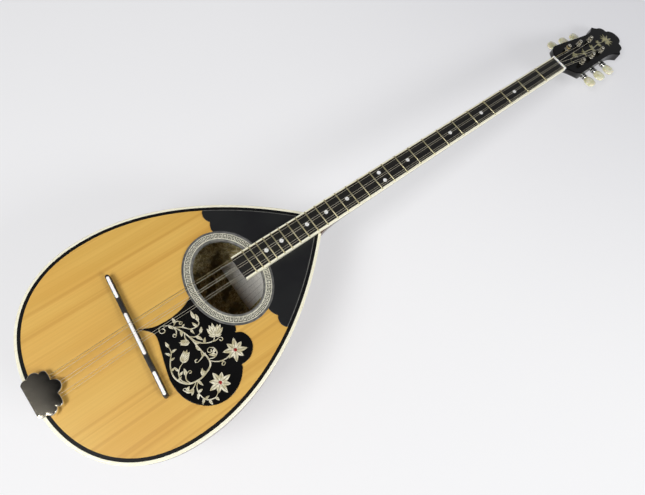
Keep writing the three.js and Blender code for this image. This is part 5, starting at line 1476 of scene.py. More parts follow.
inlay, hearts = pickguard_inlay()
make_piece("pickguard_inlay_pearl", inlay, GUARD_PEARL)
heart_forms = [dome(place, HEART_RADIUS, GUARD_TOP + HEART_FOOT, HEART_RISE) for place in hearts]
make_piece("pickguard_inlay_hearts", joined(heart_forms), ENAMEL)


# Bowl and label

def spine_depth(x):
    """The bowl's depth at a place along the neck line: a superellipse's quarter over the tail, then a
    power curve down to the heel."""
    tail = np.clip((WIDEST_X - x) / ROUND_LENGTH, 0, 1)
    neck = np.clip((x - WIDEST_X) / (JOINT_X - WIDEST_X), 0, 1)
    rounded = BODY_DEPTH * (1 - tail**ROUND_POWER) ** (1 / ROUND_POWER)
    falling = BOWL_HEEL_DEPTH + (BODY_DEPTH - BOWL_HEEL_DEPTH) * (1 - neck**SPINE_POWER)
    return np.where(x < WIDEST_X, rounded, falling)


def bowl_surface(along, across):
    """The bowl's outside: the plan's edge along, and a superellipse's half across from the bass rim
    under the bowl to the treble rim."""
    edge = outline(along)
    angle = np.pi * across
    return points_of(
        edge[..., 0],
        edge[..., 1] * signed_power(np.cos(angle), 2 / SECTION_POWER),
        -BOARD_THICKNESS - spine_depth(edge[..., 0]) * signed_power(np.sin(angle), 2 / SECTION_POWER),
    )


def bowl_points(along, across, inset):
    """The bowl's surface moved inwards, square to itself, over a grid of places along and across."""
    along, across = np.meshgrid(along, across, indexing="ij")
    nudge = 1e-4
    safe = np.maximum(along, 2 * nudge)
    along_way = bowl_surface(safe + nudge, across) - bowl_surface(safe - nudge, across)
    across_way = bowl_surface(safe, across + nudge) - bowl_surface(safe, across - nudge)
    outward = unit(np.cross(along_way, across_way))
    points = bowl_surface(along, across) - np.broadcast_to(inset, along.shape)[..., None] * outward
    tail = along[:, 0] == 0
    points[tail] = (TAIL_X + np.min(inset), 0, -BOARD_THICKNESS)
    return points


def bowl():
    """The bowl's staves: over each stave the outside lies a little flatter than the smooth surface,
    then the inside runs back over them, one wall's thickness in."""
    along = np.linspace(0, 1, BOWL_ROWS + 1)
    across = np.linspace(0, 1, STAVE_COUNT * STAVE_STEPS + 1)
    place = across * STAVE_COUNT % 1
    outside = bowl_points(along, across, STAVE_FLATNESS * 4 * place * (1 - place))
    inside = bowl_points(along, across[::-1], BOWL_WALL)
    return tube(np.concatenate([outside, inside], 1))


def label():
    """The label: a thin sheet on the inside of the bowl, following its curve both ways."""
    end_x = HOLE_X + LABEL_TO_HOLE
    shares = np.linspace(ROUND_SHARE, 1, PROBE_STEPS)
    start, end = np.interp([end_x - LABEL_LENGTH, end_x], outline(shares)[:, 0], shares)
    across = np.linspace(0, 1, PROBE_STEPS)
    row = bowl_points(np.array([(start + end) / 2]), across, BOWL_WALL)[0]
    girth = np.concatenate([[0], np.cumsum(np.linalg.norm(np.diff(row, axis=0), axis=1))])
    middle = girth[-1] / 2 - LABEL_OFFSET
    first, last = np.interp([middle - LABEL_WIDTH / 2, middle + LABEL_WIDTH / 2], girth, across)
    grid = (np.linspace(start, end, ARC_STEPS + 1), np.linspace(first, last, 2 * ARC_STEPS + 1))
    top = bowl_points(*grid, BOWL_WALL + SEAT_GAP + LABEL_THICKNESS)
    under = bowl_points(*grid, BOWL_WALL + SEAT_GAP)
    walls = [skin(np.stack([top[:, i], under[:, i]], 1)) for i in (0, -1)]
    walls += [skin(np.stack([top[i], under[i]], 1)) for i in (0, -1)]
    return joined([skin(top), skin(under[:, ::-1]), *walls])


make_piece("bowl_staves", bowl(), STAVES, ["bowl"])
make_piece("label_sheet", label(), PAPER, ["label"])
for node in ("neck_block", "tail_block", "lining_bass", "lining_treble", "brace_1", "brace_2", "brace_3"):
    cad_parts[node].data.materials.clear()
    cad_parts[node].data.materials.append(LIME)


# Neck, fretboard and nut

def board_half_width(x):
    """Half the fretboard's width, bindings included, at a place along it."""
    return (FRETBOARD_NUT_WIDTH + (FRETBOARD_END_WIDTH - FRETBOARD_NUT_WIDTH) * -x / FRETBOARD_LENGTH) / 2


def fret_x(number):
    """Where a fret lies, by the equal-tempered rule."""
    return -SCALE_LENGTH * (1 - 2 ** (-np.asarray(number) / FRETS_AN_OCTAVE))


def neck():
    """The neck and its heel: a superellipse's half hung under the flat top at each place, its depth
    and half width growing by a power curve over the heel. Near the head its depth leads over to the
    head's as a smooth step, and its end is cut square to the head."""
    heel = JOINT_X + HEEL_LENGTH * np.linspace(0, 1, HEEL_ROWS)
    x = np.concatenate([heel, np.linspace(heel[-1], NUT_THICKNESS, NECK_ROWS)[1:]])
    under = np.minimum(x, 0)
    heel_share = np.maximum((JOINT_X + HEEL_LENGTH - x) / HEEL_LENGTH, 0)
    joint_half = outline(np.array(1.0))[1]
    plain_half = board_half_width(under) - NECK_SETBACK
    half = plain_half + (joint_half - plain_half) * heel_share**HEEL_FLARE_POWER
    plain = NECK_DEPTH_AT_NUT + (NECK_DEPTH_AT_BODY - NECK_DEPTH_AT_NUT) * under / JOINT_X
    head_share = smooth_step(np.clip((x - HEAD_BLEND_START) / HEAD_BLEND_LENGTH, 0, 1))
    plain = plain + (HEAD_JOINT_DEPTH - plain) * head_share
    heel_depth = BOWL_HEEL_DEPTH + NECK_TOP + BOARD_THICKNESS + SEAT_GAP
    depth = plain + (heel_depth - plain) * heel_share**HEEL_POWER
    angle = np.linspace(0, np.pi, 2 * SMALL_SIDES + 1)
    y = -half[:, None] * signed_power(np.cos(angle), 2 / NECK_SECTION_POWER)
    drop = depth[:, None] * signed_power(np.sin(angle), 2 / NECK_SECTION_POWER)
    shear = np.where(x >= NUT_THICKNESS, math.tan(HEAD_PITCH), 0)[:, None]
    return tube(points_of(x[:, None] - shear * drop, y, NECK_TOP - drop))


def board_strip(sides, top, edge):
    """A straight strip along the fretboard between two sides: for each, which side of the board it
    follows, 1 for bass, and how far inside that it lies."""
    ends = np.array([-FRETBOARD_LENGTH, 0.0])
    first, second = (hand * (board_half_width(ends) - inside) for hand, inside in sides)
    plan = [(ends[0], first[0]), (ends[1], first[1]), (ends[1], second[1]), (ends[0], second[0])]
    return plate(plan, FRETBOARD_BOTTOM, top, edge)


def fret(number):
    """A fret: a half ellipse over the board, carried across it, falling to nothing at both ends."""
    x = float(fret_x(number))
    places = (board_half_width(x) - FRET_INSET) * np.array(FRET_PLACE_SHARES)[:, None]
    angle = np.linspace(0, np.pi, FRET_STEPS + 1)
    rise = FRET_HEIGHT * np.sin(angle) * np.array(FRET_FULL_SHARES)[:, None]
    return tube(points_of(x + FRET_WIDTH / 2 * np.cos(angle), places, FRETBOARD_TOP - HAIR + rise))


def dots():
    """Pearl discs between frets, a pair of them at the octave."""
    profile = [(DOT_RADIUS, FRETBOARD_TOP - DOT_DEPTH), (DOT_RADIUS, FRETBOARD_TOP + DOT_RISE)]
    forms = []
    for number, side in DOT_ROWS:
        x = float(fret_x(number - 1) + fret_x(number)) / 2
        forms.append(shifted(turned(profile, SMALL_SIDES), moved(x, side * DOT_SPREAD, 0)))
    return joined(forms)


def course_y(number, pitches):
    """A string's place across, from the pitch of the courses and of the pair in each; strings are
    counted from the bass side."""
    course_pitch, pair_pitch = pitches
    return ((COURSES - 1) / 2 - number // 2) * course_pitch + (0.5 - number % 2) * pair_pitch


def nut():
    """The nut: its section carried across the neck, its crest cut down in a round slot under each
    string and rounded at both ends, sloping to the head."""
    half = board_half_width(0.0)
    y = np.linspace(-half, half, NUT_STEPS)
    slots = np.zeros_like(y)
    slot_depth = NUT_CREST - (FRETBOARD_TOP + STRING_OVER_BOARD + STRING_LIFT)
    for number, diameter in enumerate(STRING_DIAMETERS):
        away = np.abs(y - course_y(number, NUT_PITCHES)) / (NUT_SLOT_SHARE * diameter / 2)
        slots = np.maximum(slots, slot_depth * np.clip(1 - away**2, 0, 1))
    ends = np.clip((half - np.abs(y)) / NUT_ROUND, 0, 1)
    crest = NUT_CREST - slots - NUT_ROUND * (1 - ends) ** 2
    x = np.array([0, 0, NUT_CORNER, NUT_ROUND, NUT_BONE / 2, NUT_BONE - NUT_BACK_EDGE, NUT_BONE, NUT_BONE])
    z = crest[:, None] - np.array([0, NUT_ROUND, NUT_CORNER, 0, 0, NUT_DROP, NUT_DROP + NUT_ROUND, 0])
    z[:, [0, -1]] = FRETBOARD_BOTTOM - HAIR
    return tube(points_of(x, y[:, None], z))


def overlay_step():
    """The black step between the nut and the head's overlay."""
    half = board_half_width(0.0) - OVERLAY_STEP_INSET
    back = NUT_THICKNESS + SEAT_GAP
    plan = [(NUT_BONE, -half), (back, -half), (back, half), (NUT_BONE, half)]
    return plate(plan, FRETBOARD_BOTTOM - HAIR, NECK_TOP - SEAT_GAP + OVERLAY_TOP, HAIR)


make_piece("neck_walnut", neck(), NECK_WOOD, ["neck"])
core = board_strip([(-1, FRETBOARD_BINDING_WIDTH), (1, FRETBOARD_BINDING_WIDTH)], FRETBOARD_TOP, HAIR)
make_piece("fretboard_ebony", core, EBONY, ["fretboard"])
for side, name in SIDES:
    strip = board_strip([(side, FRETBOARD_BINDING_WIDTH), (side, 0)], FRETBOARD_TOP, FRETBOARD_EDGE)
    make_piece(f"fretboard_binding_{name}_ivory", strip, IVORY, [f"fretboard_binding_{name}"])
fret_forms = [fret(number) for number in range(1, FRET_COUNT + 1)]
make_piece("frets", joined(fret_forms), FRET_METAL, ["fretboard"])
make_piece("fretboard_dots", dots(), DOT_PEARL)
make_piece("nut_bone", nut(), BONE, ["nut"])
make_piece("overlay_step_at_nut", overlay_step(), HEAD_BLACK)


# Bridge

def bridge_bar():
    """The bridge's bar: a section that narrows to its top and has rounded upper edges, carried along
    it; half-round ends, and two arches between its three feet that rise as a sine's root."""
    half = BRIDGE_LENGTH / 2
    end = BRIDGE_WIDTH / 2
    swing = np.sin(np.linspace(-np.pi / 2, 0, BRIDGE_END_STEPS + 1))
    straight = np.linspace(end - half, half - end, BRIDGE_STEPS)[1:-1]
    y = np.concatenate([-half + end + end * swing, straight, half - end - end * swing[::-1]])
    over = np.maximum(np.abs(y) - (half - end), 0)
    wide = np.maximum(np.sqrt(np.maximum(end**2 - over**2, 0)), BRIDGE_LEAST_WIDTH)[:, None]
    gap_start = BRIDGE_FOOT_LENGTH / 2
    gap_end = half - BRIDGE_FOOT_LENGTH
    share = np.clip((np.abs(y) - gap_start) / (gap_end - gap_start), 0, 1)
    bottom = BRIDGE_ARCH * np.sin(np.pi * share)[:, None] ** BRIDGE_ARCH_POWER
    round_over = np.linspace(0, np.pi / 2, EDGE_STEPS + 1)
    edge = np.minimum(BRIDGE_EDGE, wide)
    x_right = wide * BRIDGE_TOP_WIDTH / BRIDGE_WIDTH - edge * (1 - np.cos(round_over))
    z_right = BRIDGE_TOP - edge * (1 - np.sin(round_over))
    x = np.concatenate([wide, x_right, -x_right[:, ::-1], -wide], 1)
    z = np.concatenate([bottom, z_right, z_right[:, ::-1], bottom], 1)
    return tube(points_of(x, y[:, None], z))


make_piece("bridge_bar", bridge_bar(), BRIDGE_EBONY_SHEEN, ["bridge_base"], BRIDGE)
half_saddle = SADDLE_LENGTH / 2
saddle = rounded_bar(-half_saddle, half_saddle, SADDLE_THICKNESS, BONE_BOTTOM, SADDLE_CREST, SADDLE_EDGE)
make_piece("bridge_saddle_bone", saddle, BONE, ["bridge_saddle"], BRIDGE)
tip_start = BRIDGE_LENGTH / 2 - TIP_END_MARGIN - TIP_LENGTH
for side, name in SIDES:
    ends = sorted((side * tip_start, side * (tip_start + TIP_LENGTH)))
    tip = rounded_bar(*ends, SADDLE_THICKNESS, BONE_BOTTOM, TIP_TOP, BONE_EDGE)
    make_piece(f"bridge_tip_{name}_bone", tip, BONE, [f"bridge_tip_{name}"], BRIDGE)


# Head

def head_place(shares):
    """Shares of the head's length and half width as places."""
    return np.asarray(shares, float) * (HEAD_LENGTH, HEAD_WIDTH / 2)


def head_plan():
    """The head: a smooth side from the nut to the top's corner, then scallops to the middle; and its
    mirror image."""
    parts = [smooth_line(head_place(HEAD_SHARES), HEAD_STEPS)]
    for along, across, bulge in HEAD_SCALLOP_SHARES:
        parts.append(arc_line(parts[-1][-1], head_place((along, across)), bulge))
    half = np.concatenate(parts)
    return np.concatenate([half, (half * (1, -1))[-2::-1]])


def head_inlay():
    """The head's vine: a hook, a small flower, and a stem with fans of pointed leaves, the last one
    the widest. Places are shares of the head's length and half width."""
    line = [
        (0.16, -0.07), (0.255, 0.035), (0.33, -0.03), (0.39, -0.075), (0.46, -0.05), (0.536, -0.07),
        (0.6, -0.02), (0.67, 0.026), (0.74, 0.03), (0.79, 0.05),
    ]
    forms = [stem(head_place(line), OVERLAY_TOP, HEAD_STEM_HALF_WIDTH)]
    forms.append(curl(head_place(line[0]), math.pi + 0.4, 4.2, 0.55, OVERLAY_TOP + INLAY_STEP))
    forms += flower(head_place(line[1]), 0.6, OVERLAY_TOP + 2 * INLAY_STEP, 0.2, 7)
    # Each fan: its foot, its angle and spread, how many leaves, their length and half width, and its layer
    fans = [
        ((0.39, -0.075), 1.15, 0.75, 3, 8.5, 1.1, 0), ((0.39, -0.075), -2.1, 0.75, 3, 8.5, 1.1, 0),
        ((0.536, -0.07), 1.15, 0.75, 4, 10, 1.1, 1), ((0.536, -0.07), -2.1, 0.75, 4, 10, 1.1, 1),
        ((0.67, 0.026), 1.15, 0.75, 4, 9, 1.1, 2), ((0.67, 0.026), -2.1, 0.75, 4, 9, 1.1, 2),
        ((0.8, 0.02), 0.2, 2.5, 10, 14, 1.4, 1), ((0.78, 0), -1.7, 0.5, 3, 12, 1.3, 2),
    ]
    for foot, angle, spread, count, length, half_width, layer in fans:
        forms += spray(head_place(foot), angle, spread, count, length, half_width,
                       OVERLAY_TOP + layer * INLAY_STEP)
    return joined(forms)


def lid(loop, height):
    """A flat face inside an outline."""
    return at_height(loop, height), [list(range(len(loop)))], np.zeros((len(loop), 2))


def head_block():
    """The head's block: straight walls under a flat top. Near the neck its underside is round like the
    neck's: the walls grow from a thin edge to the full thickness as a smooth step, and half an ellipse
    across fills the rest."""
    loop = wound(head_plan(), True)
    share = np.clip(loop[:, 0] / HEAD_ROUND_LENGTH, 0, 1)
    wall = HEAD_EDGE_HEIGHT + (HEAD_THICKNESS - HEAD_EDGE_HEIGHT) * smooth_step(share)
    walls = skin(np.stack([at_height(loop, -wall), at_height(loop, OVERLAY_BOTTOM)]), round_columns=True)
    full = int(np.argmax(share >= 1))
    side, edge = loop[:full + 1], wall[:full + 1, None]
    angle = np.linspace(0, np.pi, SMALL_SIDES + 1)
    across = side[:, 1:] * np.cos(angle)
    under = points_of(side[:, :1], across, -edge - (HEAD_THICKNESS - edge) * np.sin(angle))
    end = (under[0], [list(range(len(angle)))], np.zeros((len(angle), 2)))
    rest = lid(loop[full:len(loop) - full], -HEAD_THICKNESS)
    return joined([walls, skin(under), end, rest, lid(loop, OVERLAY_BOTTOM)])


make_piece("headstock_wood", head_block(), HEAD_WOOD, ["headstock"], HEAD)
overlay = plate(head_plan(), OVERLAY_BOTTOM, OVERLAY_TOP, OVERLAY_EDGE)
make_piece("head_overlay_gloss", overlay, HEAD_BLACK, ["head_overlay"], HEAD)
make_piece("head_inlay_pearl", head_inlay(), HEAD_PEARL, place=HEAD)


# Tuning machines

def machine_plate(side):
    """A machine plate with rounded corners, and two lugs with round ends at each worm."""
    low_y, high_y = sorted((side * PLATE_INNER, -side * PLATE_OUTER))
    box = rounded_box((PLATE_START, low_y), (PLATE_END, high_y), PLATE_CORNER)
    sheet = plate(box, 0, PLATE_TOP - PLATE_BOTTOM, PLATE_EDGE)
    forms = [shifted(sheet, moved(0, 0, PLATE_TOP) @ turned_about("X", math.pi))]
    drop = PLATE_BOTTOM - WORM_DEPTH + SEAT_GAP
    lug_plan = np.concatenate([
        [(LUG_WIDTH / 2, drop), (-LUG_WIDTH / 2, drop)],
        LUG_WIDTH / 2 * on_circle(np.linspace(np.pi, 2 * np.pi, 2 * ARC_STEPS)),
    ])
    lug = plate(lug_plan, 0, LUG_THICKNESS, LUG_EDGE)
    start = WORM_LENGTH / 2 + LUG_CLEARANCE
    for i in range(POSTS_A_SIDE):
        for y in (start + LUG_THICKNESS, -start):
            place = moved(post_x(i) + WORM_OFFSET, y, WORM_DEPTH) @ turned_about("X", math.pi / 2)
            forms.append(shifted(lug, place))
    return joined(forms)


def collar():
    """A round collar on the overlay: a low ring with a rounded rim, clear of the post inside it."""
    hole = POST_RADIUS + COLLAR_CLEARANCE
    return turned([
        (hole, 0), (COLLAR_RADIUS, 0), (COLLAR_RADIUS, COLLAR_HEIGHT * COLLAR_WALL_SHARE),
        (COLLAR_RADIUS - COLLAR_SHOULDER, COLLAR_HEIGHT * COLLAR_SHOULDER_SHARE),
        (COLLAR_RADIUS - COLLAR_ROUND, COLLAR_HEIGHT), (hole + COLLAR_CLEARANCE, COLLAR_HEIGHT),
        (hole, COLLAR_HEIGHT - COLLAR_CLEARANCE),
    ], closed=True)


def post():
    """A string post: a waisted pin with a rounded top and a narrow foot, its worm wheel, whose rim
    follows a cosine with flattened crests, and a nut under that."""
    top = OVERLAY_TOP + POST_HEIGHT
    waist = OVERLAY_TOP + WINDING_HEIGHT
    foot = WORM_DEPTH - WHEEL_THICKNESS / 2 - POST_FOOT_REACH
    pin = turned([
        (0, foot), (POST_FOOT_RADIUS, foot), (POST_SHANK_RADIUS, foot + POST_FOOT_CHAMFER),
        (POST_SHANK_RADIUS, WORM_DEPTH), (POST_RADIUS, WORM_DEPTH),
        *((POST_RADIUS - inset, waist - under) for inset, under in POST_WAIST_PROFILE),
        *((POST_RADIUS - inset, top - under) for inset, under in POST_TOP_PROFILE),
        (0, top + POST_CROWN),
    ])
    angle = np.linspace(0, 2 * np.pi, WHEEL_TEETH * TOOTH_STEPS, endpoint=False)
    wave = np.clip(WHEEL_CREST * np.cos(WHEEL_TEETH * angle), -1, 1)
    rim = (WHEEL_RADIUS - WHEEL_TOOTH_DEPTH / 2 * (1 - wave))[:, None] * on_circle(angle)
    wheel = plate(rim, WORM_DEPTH - WHEEL_THICKNESS / 2, WORM_DEPTH + WHEEL_THICKNESS / 2, WHEEL_EDGE)
    nose = turned([(radius, foot + height) for radius, height in POST_NOSE_PROFILE], SMALL_SIDES)
    return joined([pin, wheel, nose])


def ferrule_rings():
    """Where along its key each part of the ferrule starts and ends, and where its groove ends."""
    ends = SHAFT_REACH - FERRULE_LENGTH * np.arange(FERRULE_RINGS, -1, -1) / FERRULE_RINGS
    return [(start, end, start + FERRULE_GROOVE_WIDTH) for start, end in zip(ends[:-1], ends[1:])]


def key():
    """A key: a worm whose radius follows a smoothed thread wound along it, journals, a collar, and the
    shaft out to the button, with a ferrule of grooves and rings; along +Y."""
    half = WORM_LENGTH / 2
    rows = np.linspace(-half, half, WORM_ROWS)[:, None]
    angle = 2 * np.pi * np.arange(SMALL_SIDES) / SMALL_SIDES
    phase = (rows / WORM_LENGTH + 0.5) * WORM_TURNS - angle / (2 * np.pi)
    thread = np.clip(0.5 + THREAD_CREST * np.cos(2 * np.pi * phase), 0, 1)
    fade = np.clip((half - np.abs(rows)) / THREAD_FADE, 0, 1)
    radius = WORM_ROOT_RADIUS + (WORM_RADIUS - WORM_ROOT_RADIUS) * thread * fade
    worm = points_of(radius * np.cos(angle), rows, -radius * np.sin(angle))
    inner = -half - LUG_CLEARANCE - LUG_THICKNESS - SHAFT_CHAMFER
    collar_start = half + 2 * LUG_CLEARANCE + LUG_THICKNESS
    collar_end = collar_start + SHAFT_COLLAR_LENGTH
    ferrule = []
    for start, end, groove_end in ferrule_rings():
        ferrule += [
            (FERRULE_FLOOR, start), (FERRULE_FLOOR, groove_end),
            (FERRULE_RADIUS - SHAFT_CHAMFER, groove_end), (FERRULE_RADIUS, groove_end + SHAFT_CHAMFER),
            (FERRULE_RADIUS, end - SHAFT_CHAMFER), (FERRULE_RADIUS - SHAFT_CHAMFER, end),
        ]
    shaft = turned([
        (0, inner), (JOURNAL_RADIUS - SHAFT_CHAMFER, inner), (JOURNAL_RADIUS, inner + SHAFT_CHAMFER),
        (JOURNAL_RADIUS, collar_start), (SHAFT_COLLAR_RADIUS - SHAFT_CHAMFER, collar_start),
        (SHAFT_COLLAR_RADIUS, collar_start + SHAFT_CHAMFER),
        (SHAFT_COLLAR_RADIUS, collar_end - 2 * SHAFT_CHAMFER),
        (SHAFT_COLLAR_RADIUS - SHAFT_COLLAR_ROUND, collar_end), (SHAFT_RADIUS, collar_end + SHAFT_CHAMFER),
        (SHAFT_RADIUS, SHAFT_REACH - FERRULE_LENGTH), *ferrule, (0, SHAFT_REACH),
    ])
    return joined([tube(worm), shifted(shaft, turned_about("X", -math.pi / 2))])


def ferrule_groove_shade():
    """Painted shade in the grooves of a key's ferrule: a plain black ring in each, just proud of its floor.
    """
    low, high = FERRULE_FLOOR - SUNK, FERRULE_FLOOR + GROOVE_FILL
    forms = []
    for start, _, groove_end in ferrule_rings():
        start, end = start + HAIR, groove_end - HAIR
        forms.append(turned([(low, start), (high, start), (high, end), (low, end)], closed=True))
    return shifted(joined(forms), turned_about("X", -math.pi / 2))


def button(start):
    """A button that begins at a distance along its key: an ellipse across, whose half width and half
    thickness grow out of a round neck, along a smooth curve through listed shares."""
    along, full = smooth_line(BUTTON_SHARES, BUTTON_STEPS).T
    full = np.maximum(full, 0)
    wide = BUTTON_NECK_RADIUS + (BUTTON_WIDTH / 2 - BUTTON_NECK_RADIUS) * full
    thick = BUTTON_NECK_RADIUS + (BUTTON_THICKNESS / 2 - BUTTON_NECK_RADIUS) * full
    wide[-1] = thick[-1] = BUTTON_END_RADIUS
    angle = -2 * np.pi * np.arange(ROUND_SIDES) / ROUND_SIDES
    rows = (start + along * BUTTON_LENGTH)[:, None]
    return tube(points_of(wide[:, None] * np.cos(angle), rows, thick[:, None] * np.sin(angle)))


def screw(head_radius, head_height, shank_radius, length):
    """A screw that points up Z: a domed head with its seat at height 0, and a pointed shank."""
    swing = np.linspace(0, np.pi / 2, DOMED_STEPS + 1)
    heights = -head_height * (SCREW_RIM_SHARE + (1 - SCREW_RIM_SHARE) * np.cos(swing))
    return turned([
        *zip(head_radius * np.sin(swing), heights), (head_radius, 0), (shank_radius, 0),
        (shank_radius, length - SCREW_POINT), (0, length),
    ], SMALL_SIDES)


def slot_cross_shade(head_radius, head_height):
    """The cross recess in a screw's head, drawn as painted shade: two short black bars, just proud of the
    dome.
    """
    reach = head_radius * CROSS_REACH_SHARE
    thick = head_radius * CROSS_WIDTH_SHARE
    corner = thick * CROSS_CORNER_SHARE
    bars = [rounded_box((-a, -b), (a, b), corner) for a, b in ((reach, thick), (thick, reach))]
    return joined([plate(bar, -head_height - HAIR, CROSS_DEPTH - head_height, CROSS_EDGE) for bar in bars])


def make_screw(name, cross_name, sizes, place, node):
    """A screw, and painted shade for the cross in its head."""
    make_piece(name, screw(*sizes), NICKEL, [node], place)
    # Black bars painted as the shade in the head's cross
    make_piece(cross_name, slot_cross_shade(*sizes[:2]), GLOSS_BLACK, place=place)


def make_machine(name, number, row):
    """One machine of a row: the post with its collar, and the key with its button."""
    label = f"{name}_{number + 1}"
    place = row @ moved(post_x(number), 0, 0)
    make_piece(f"post_collar_{label}", collar(), NICKEL, place=place @ moved(0, 0, OVERLAY_TOP))
    make_piece(f"post_{label}", post(), NICKEL, [f"tuner_post_{label}"], place, f"post_{label}")
    place = row @ moved(post_x(number) + WORM_OFFSET, 0, WORM_DEPTH)
    start = BUTTON_START
    if name == "bass":
        start -= BASS_DRAW_IN
    else:
        place = place @ turned_about("Z", math.pi)
    body = f"key_{label}"
    make_piece(f"key_{label}", key(), CHROME, [f"tuner_key_{label}"], place, body)
    # Black rings painted as the shade in the ferrule's grooves
    make_piece(f"key_groove_shade_{label}", ferrule_groove_shade(), GLOSS_BLACK, (), place, body)
    node = f"tuner_button_{label}"
    make_piece(f"button_{label}", button(start), BUTTON_PEARL, [node], place, body)


for side, name in SIDES:
    row = machine_row(side)
    make_piece(f"machine_plate_{name}", machine_plate(side), CHROME, [f"tuner_plate_{name}"], row)
    for i, x in enumerate((PLATE_START + PLATE_SCREW_MARGIN, PLATE_END - PLATE_SCREW_MARGIN)):
        make_screw(f"machine_screw_{name}_{i + 1}", f"machine_screw_cross_{name}_{i + 1}", MACHINE_SCREW,
                   row @ moved(x, 0, PLATE_BOTTOM), f"tuner_plate_screw_{name}_{i + 1}")
    for i in range(POSTS_A_SIDE):
        make_machine(name, i, row)


# Tailpiece

def tailpiece_base():
    """The tailpiece's sheet: a strip that runs back over the soundboard, bends down in a quarter
    circle and hangs over the tail, its half width drawn in before the bend and rounded at both ends."""
    bend_x = TAIL_PLATE_X + TAILPIECE_BEND
    bend_z = TAILPIECE_TOP - TAILPIECE_BEND
    flat_x = np.linspace(TAIL_PLATE_X + TAILPIECE_LENGTH, bend_x, SHEET_FLAT_ROWS)
    fall_z = np.linspace(bend_z, -TAILPIECE_DROP, SHEET_FALL_ROWS)[1:]
    swing = np.linspace(np.pi / 2, np.pi, SHEET_BEND_ROWS)[1:]
    line = np.concatenate([
        np.insert(flat_x[:, None], 1, TAILPIECE_TOP, axis=1),
        (bend_x, bend_z) + TAILPIECE_BEND * on_circle(swing),
        np.insert(fall_z[:, None], 0, TAIL_PLATE_X, axis=1),
    ])
    way = unit(np.gradient(line, axis=0))
    inner = line + TAILPIECE_PLATE * np.stack([-way[:, 1], way[:, 0]], -1)
    travelled = np.concatenate([[0], np.cumsum(np.linalg.norm(np.diff(line, axis=0), axis=1))])
    narrow = smooth_step(np.clip((travelled - TAILPIECE_NARROW_START) / TAILPIECE_NARROW_LENGTH, 0, 1))
    half = TAILPIECE_HALF_WIDTH + (TAILPIECE_DROP_HALF_WIDTH - TAILPIECE_HALF_WIDTH) * narrow
    left = travelled[-1] - travelled
    for corner, distance in ((TAILPIECE_FRONT_CORNER, travelled), (TAILPIECE_FOOT_CORNER, left)):
        half -= corner - np.sqrt(np.maximum(corner**2 - np.maximum(corner - distance, 0) ** 2, 0))
    columns = [(line, -half), (line, half), (inner, half), (inner, -half)]
    return tube(np.stack([np.insert(side, 1, across, axis=1) for side, across in columns], 1))


def hook(number):
    """A string hook: a round pin that rises from the sheet and leans back."""
    y = course_y(number, HOOK_PITCHES)
    route = [(HOOK_X - HOOK_RADIUS - back, y, height) for back, height in HOOK_ROUTE]
    return carried(smooth_line(route, HOOK_STEPS), circle(HOOK_RADIUS * HOOK_PIN_SHARE, HOOK_SIDES), BASSWARD)


def cover_plan(inset):
    """The cover's outline, drawn smaller on all sides but its rear: a corner each side, then lobes
    between cusps. Near the rear the sides are drawn in less."""
    def at(along, across):
        drawn = inset * min(1, COVER_REAR_INSET_SHARE + COVER_INSET_GROWTH * along)
        x = COVER_REAR_X + along * (COVER_LENGTH - inset)
        return np.array([x, across * (COVER_WIDTH / 2 - drawn)])

    corners = [at(*shares) for shares in COVER_REAR_SHARES]
    lobes = [arc_line(*corners, COVER_EAR_BULGE)]
    for along, across, bulge in COVER_LOBE_SHARES:
        lobes.append(arc_line(lobes[-1][-1], at(along, across), bulge))
    front = lobes.pop()
    bass = np.concatenate([corners[:1], *lobes])
    treble = (bass * (1, -1))[::-1]
    rear_edge = np.linspace(treble[-1], bass[0], COVER_REAR_STEPS + 1)[1:-1]
    return np.concatenate([bass, front[:-1], treble, rear_edge])


def tailpiece_cover():
    """The cover: a sheet whose skirt stands straight and rounds over in a quarter circle to its low
    crowned top, carried round its lobed outline, and back on its inside; the skirt is cut away behind
    and where the strings leave it. The crown falls as the square of the way from its middle."""
    skirt = cover_plan(0)
    mouth_half = course_y(0, HOOK_PITCHES) + COVER_MOUTH_MARGIN
    open_front = (np.abs(skirt[:, 1]) < mouth_half) & (skirt[:, 0] > HOOK_X)
    near_rear = skirt[:, 0] < COVER_REAR_X + COVER_MOUTH_MARGIN
    open_rear = (np.abs(skirt[:, 1]) < TAILPIECE_HALF_WIDTH + SEAT_GAP) & near_rear
    foot = np.where(open_front | open_rear, COVER_MOUTH_TOP, COVER_BOTTOM)
    swing = np.linspace(0, np.pi / 2, BEVEL_STEPS + 1)
    bevel = [*zip(COVER_BEVEL * (1 - np.sin(swing)), COVER_TOP - COVER_BEVEL * (1 - np.cos(swing)))]
    brow = cover_plan(COVER_BEVEL)
    middle = brow.mean(0)
    rows = []
    for way in np.arange(1, COVER_CROWN_ROWS + 1) / (COVER_CROWN_ROWS + 1):
        rows.append(at_height(middle + way * (brow - middle), COVER_TOP + COVER_CROWN * (1 - way**2)))
    rows += [at_height(cover_plan(inset), height) for inset, height in bevel]
    rows += [at_height(skirt, foot), at_height(cover_plan(COVER_SHEET), foot)]
    for inset, height in bevel[::-1]:
        rows.append(at_height(cover_plan(inset + COVER_SHEET), height - COVER_SHEET))
    return tube(np.stack(rows))


make_piece("tailpiece_sheet", tailpiece_base(), CHROME, ["tailpiece_base"])
hook_forms = [hook(number) for number in range(STRING_COUNT)]
make_piece("tailpiece_hooks", joined(hook_forms), CHROME)
cover = tailpiece_cover()
make_piece("tailpiece_cover_crowned", cover, COVER_CHROME, ["tailpiece_cover"], body="cover")
for side, name in SIDES:
    place = INSTRUMENT @ moved(TAIL_PLATE_X, side * TAIL_SCREW_PITCH / 2, -TAIL_SCREW_DROP)
    make_screw(f"tail_screw_{name}", f"tail_screw_cross_shade_{name}", TAIL_SCREW,
               place @ turned_about("Y", math.pi / 2), f"tailpiece_screw_{name}")


# Strings

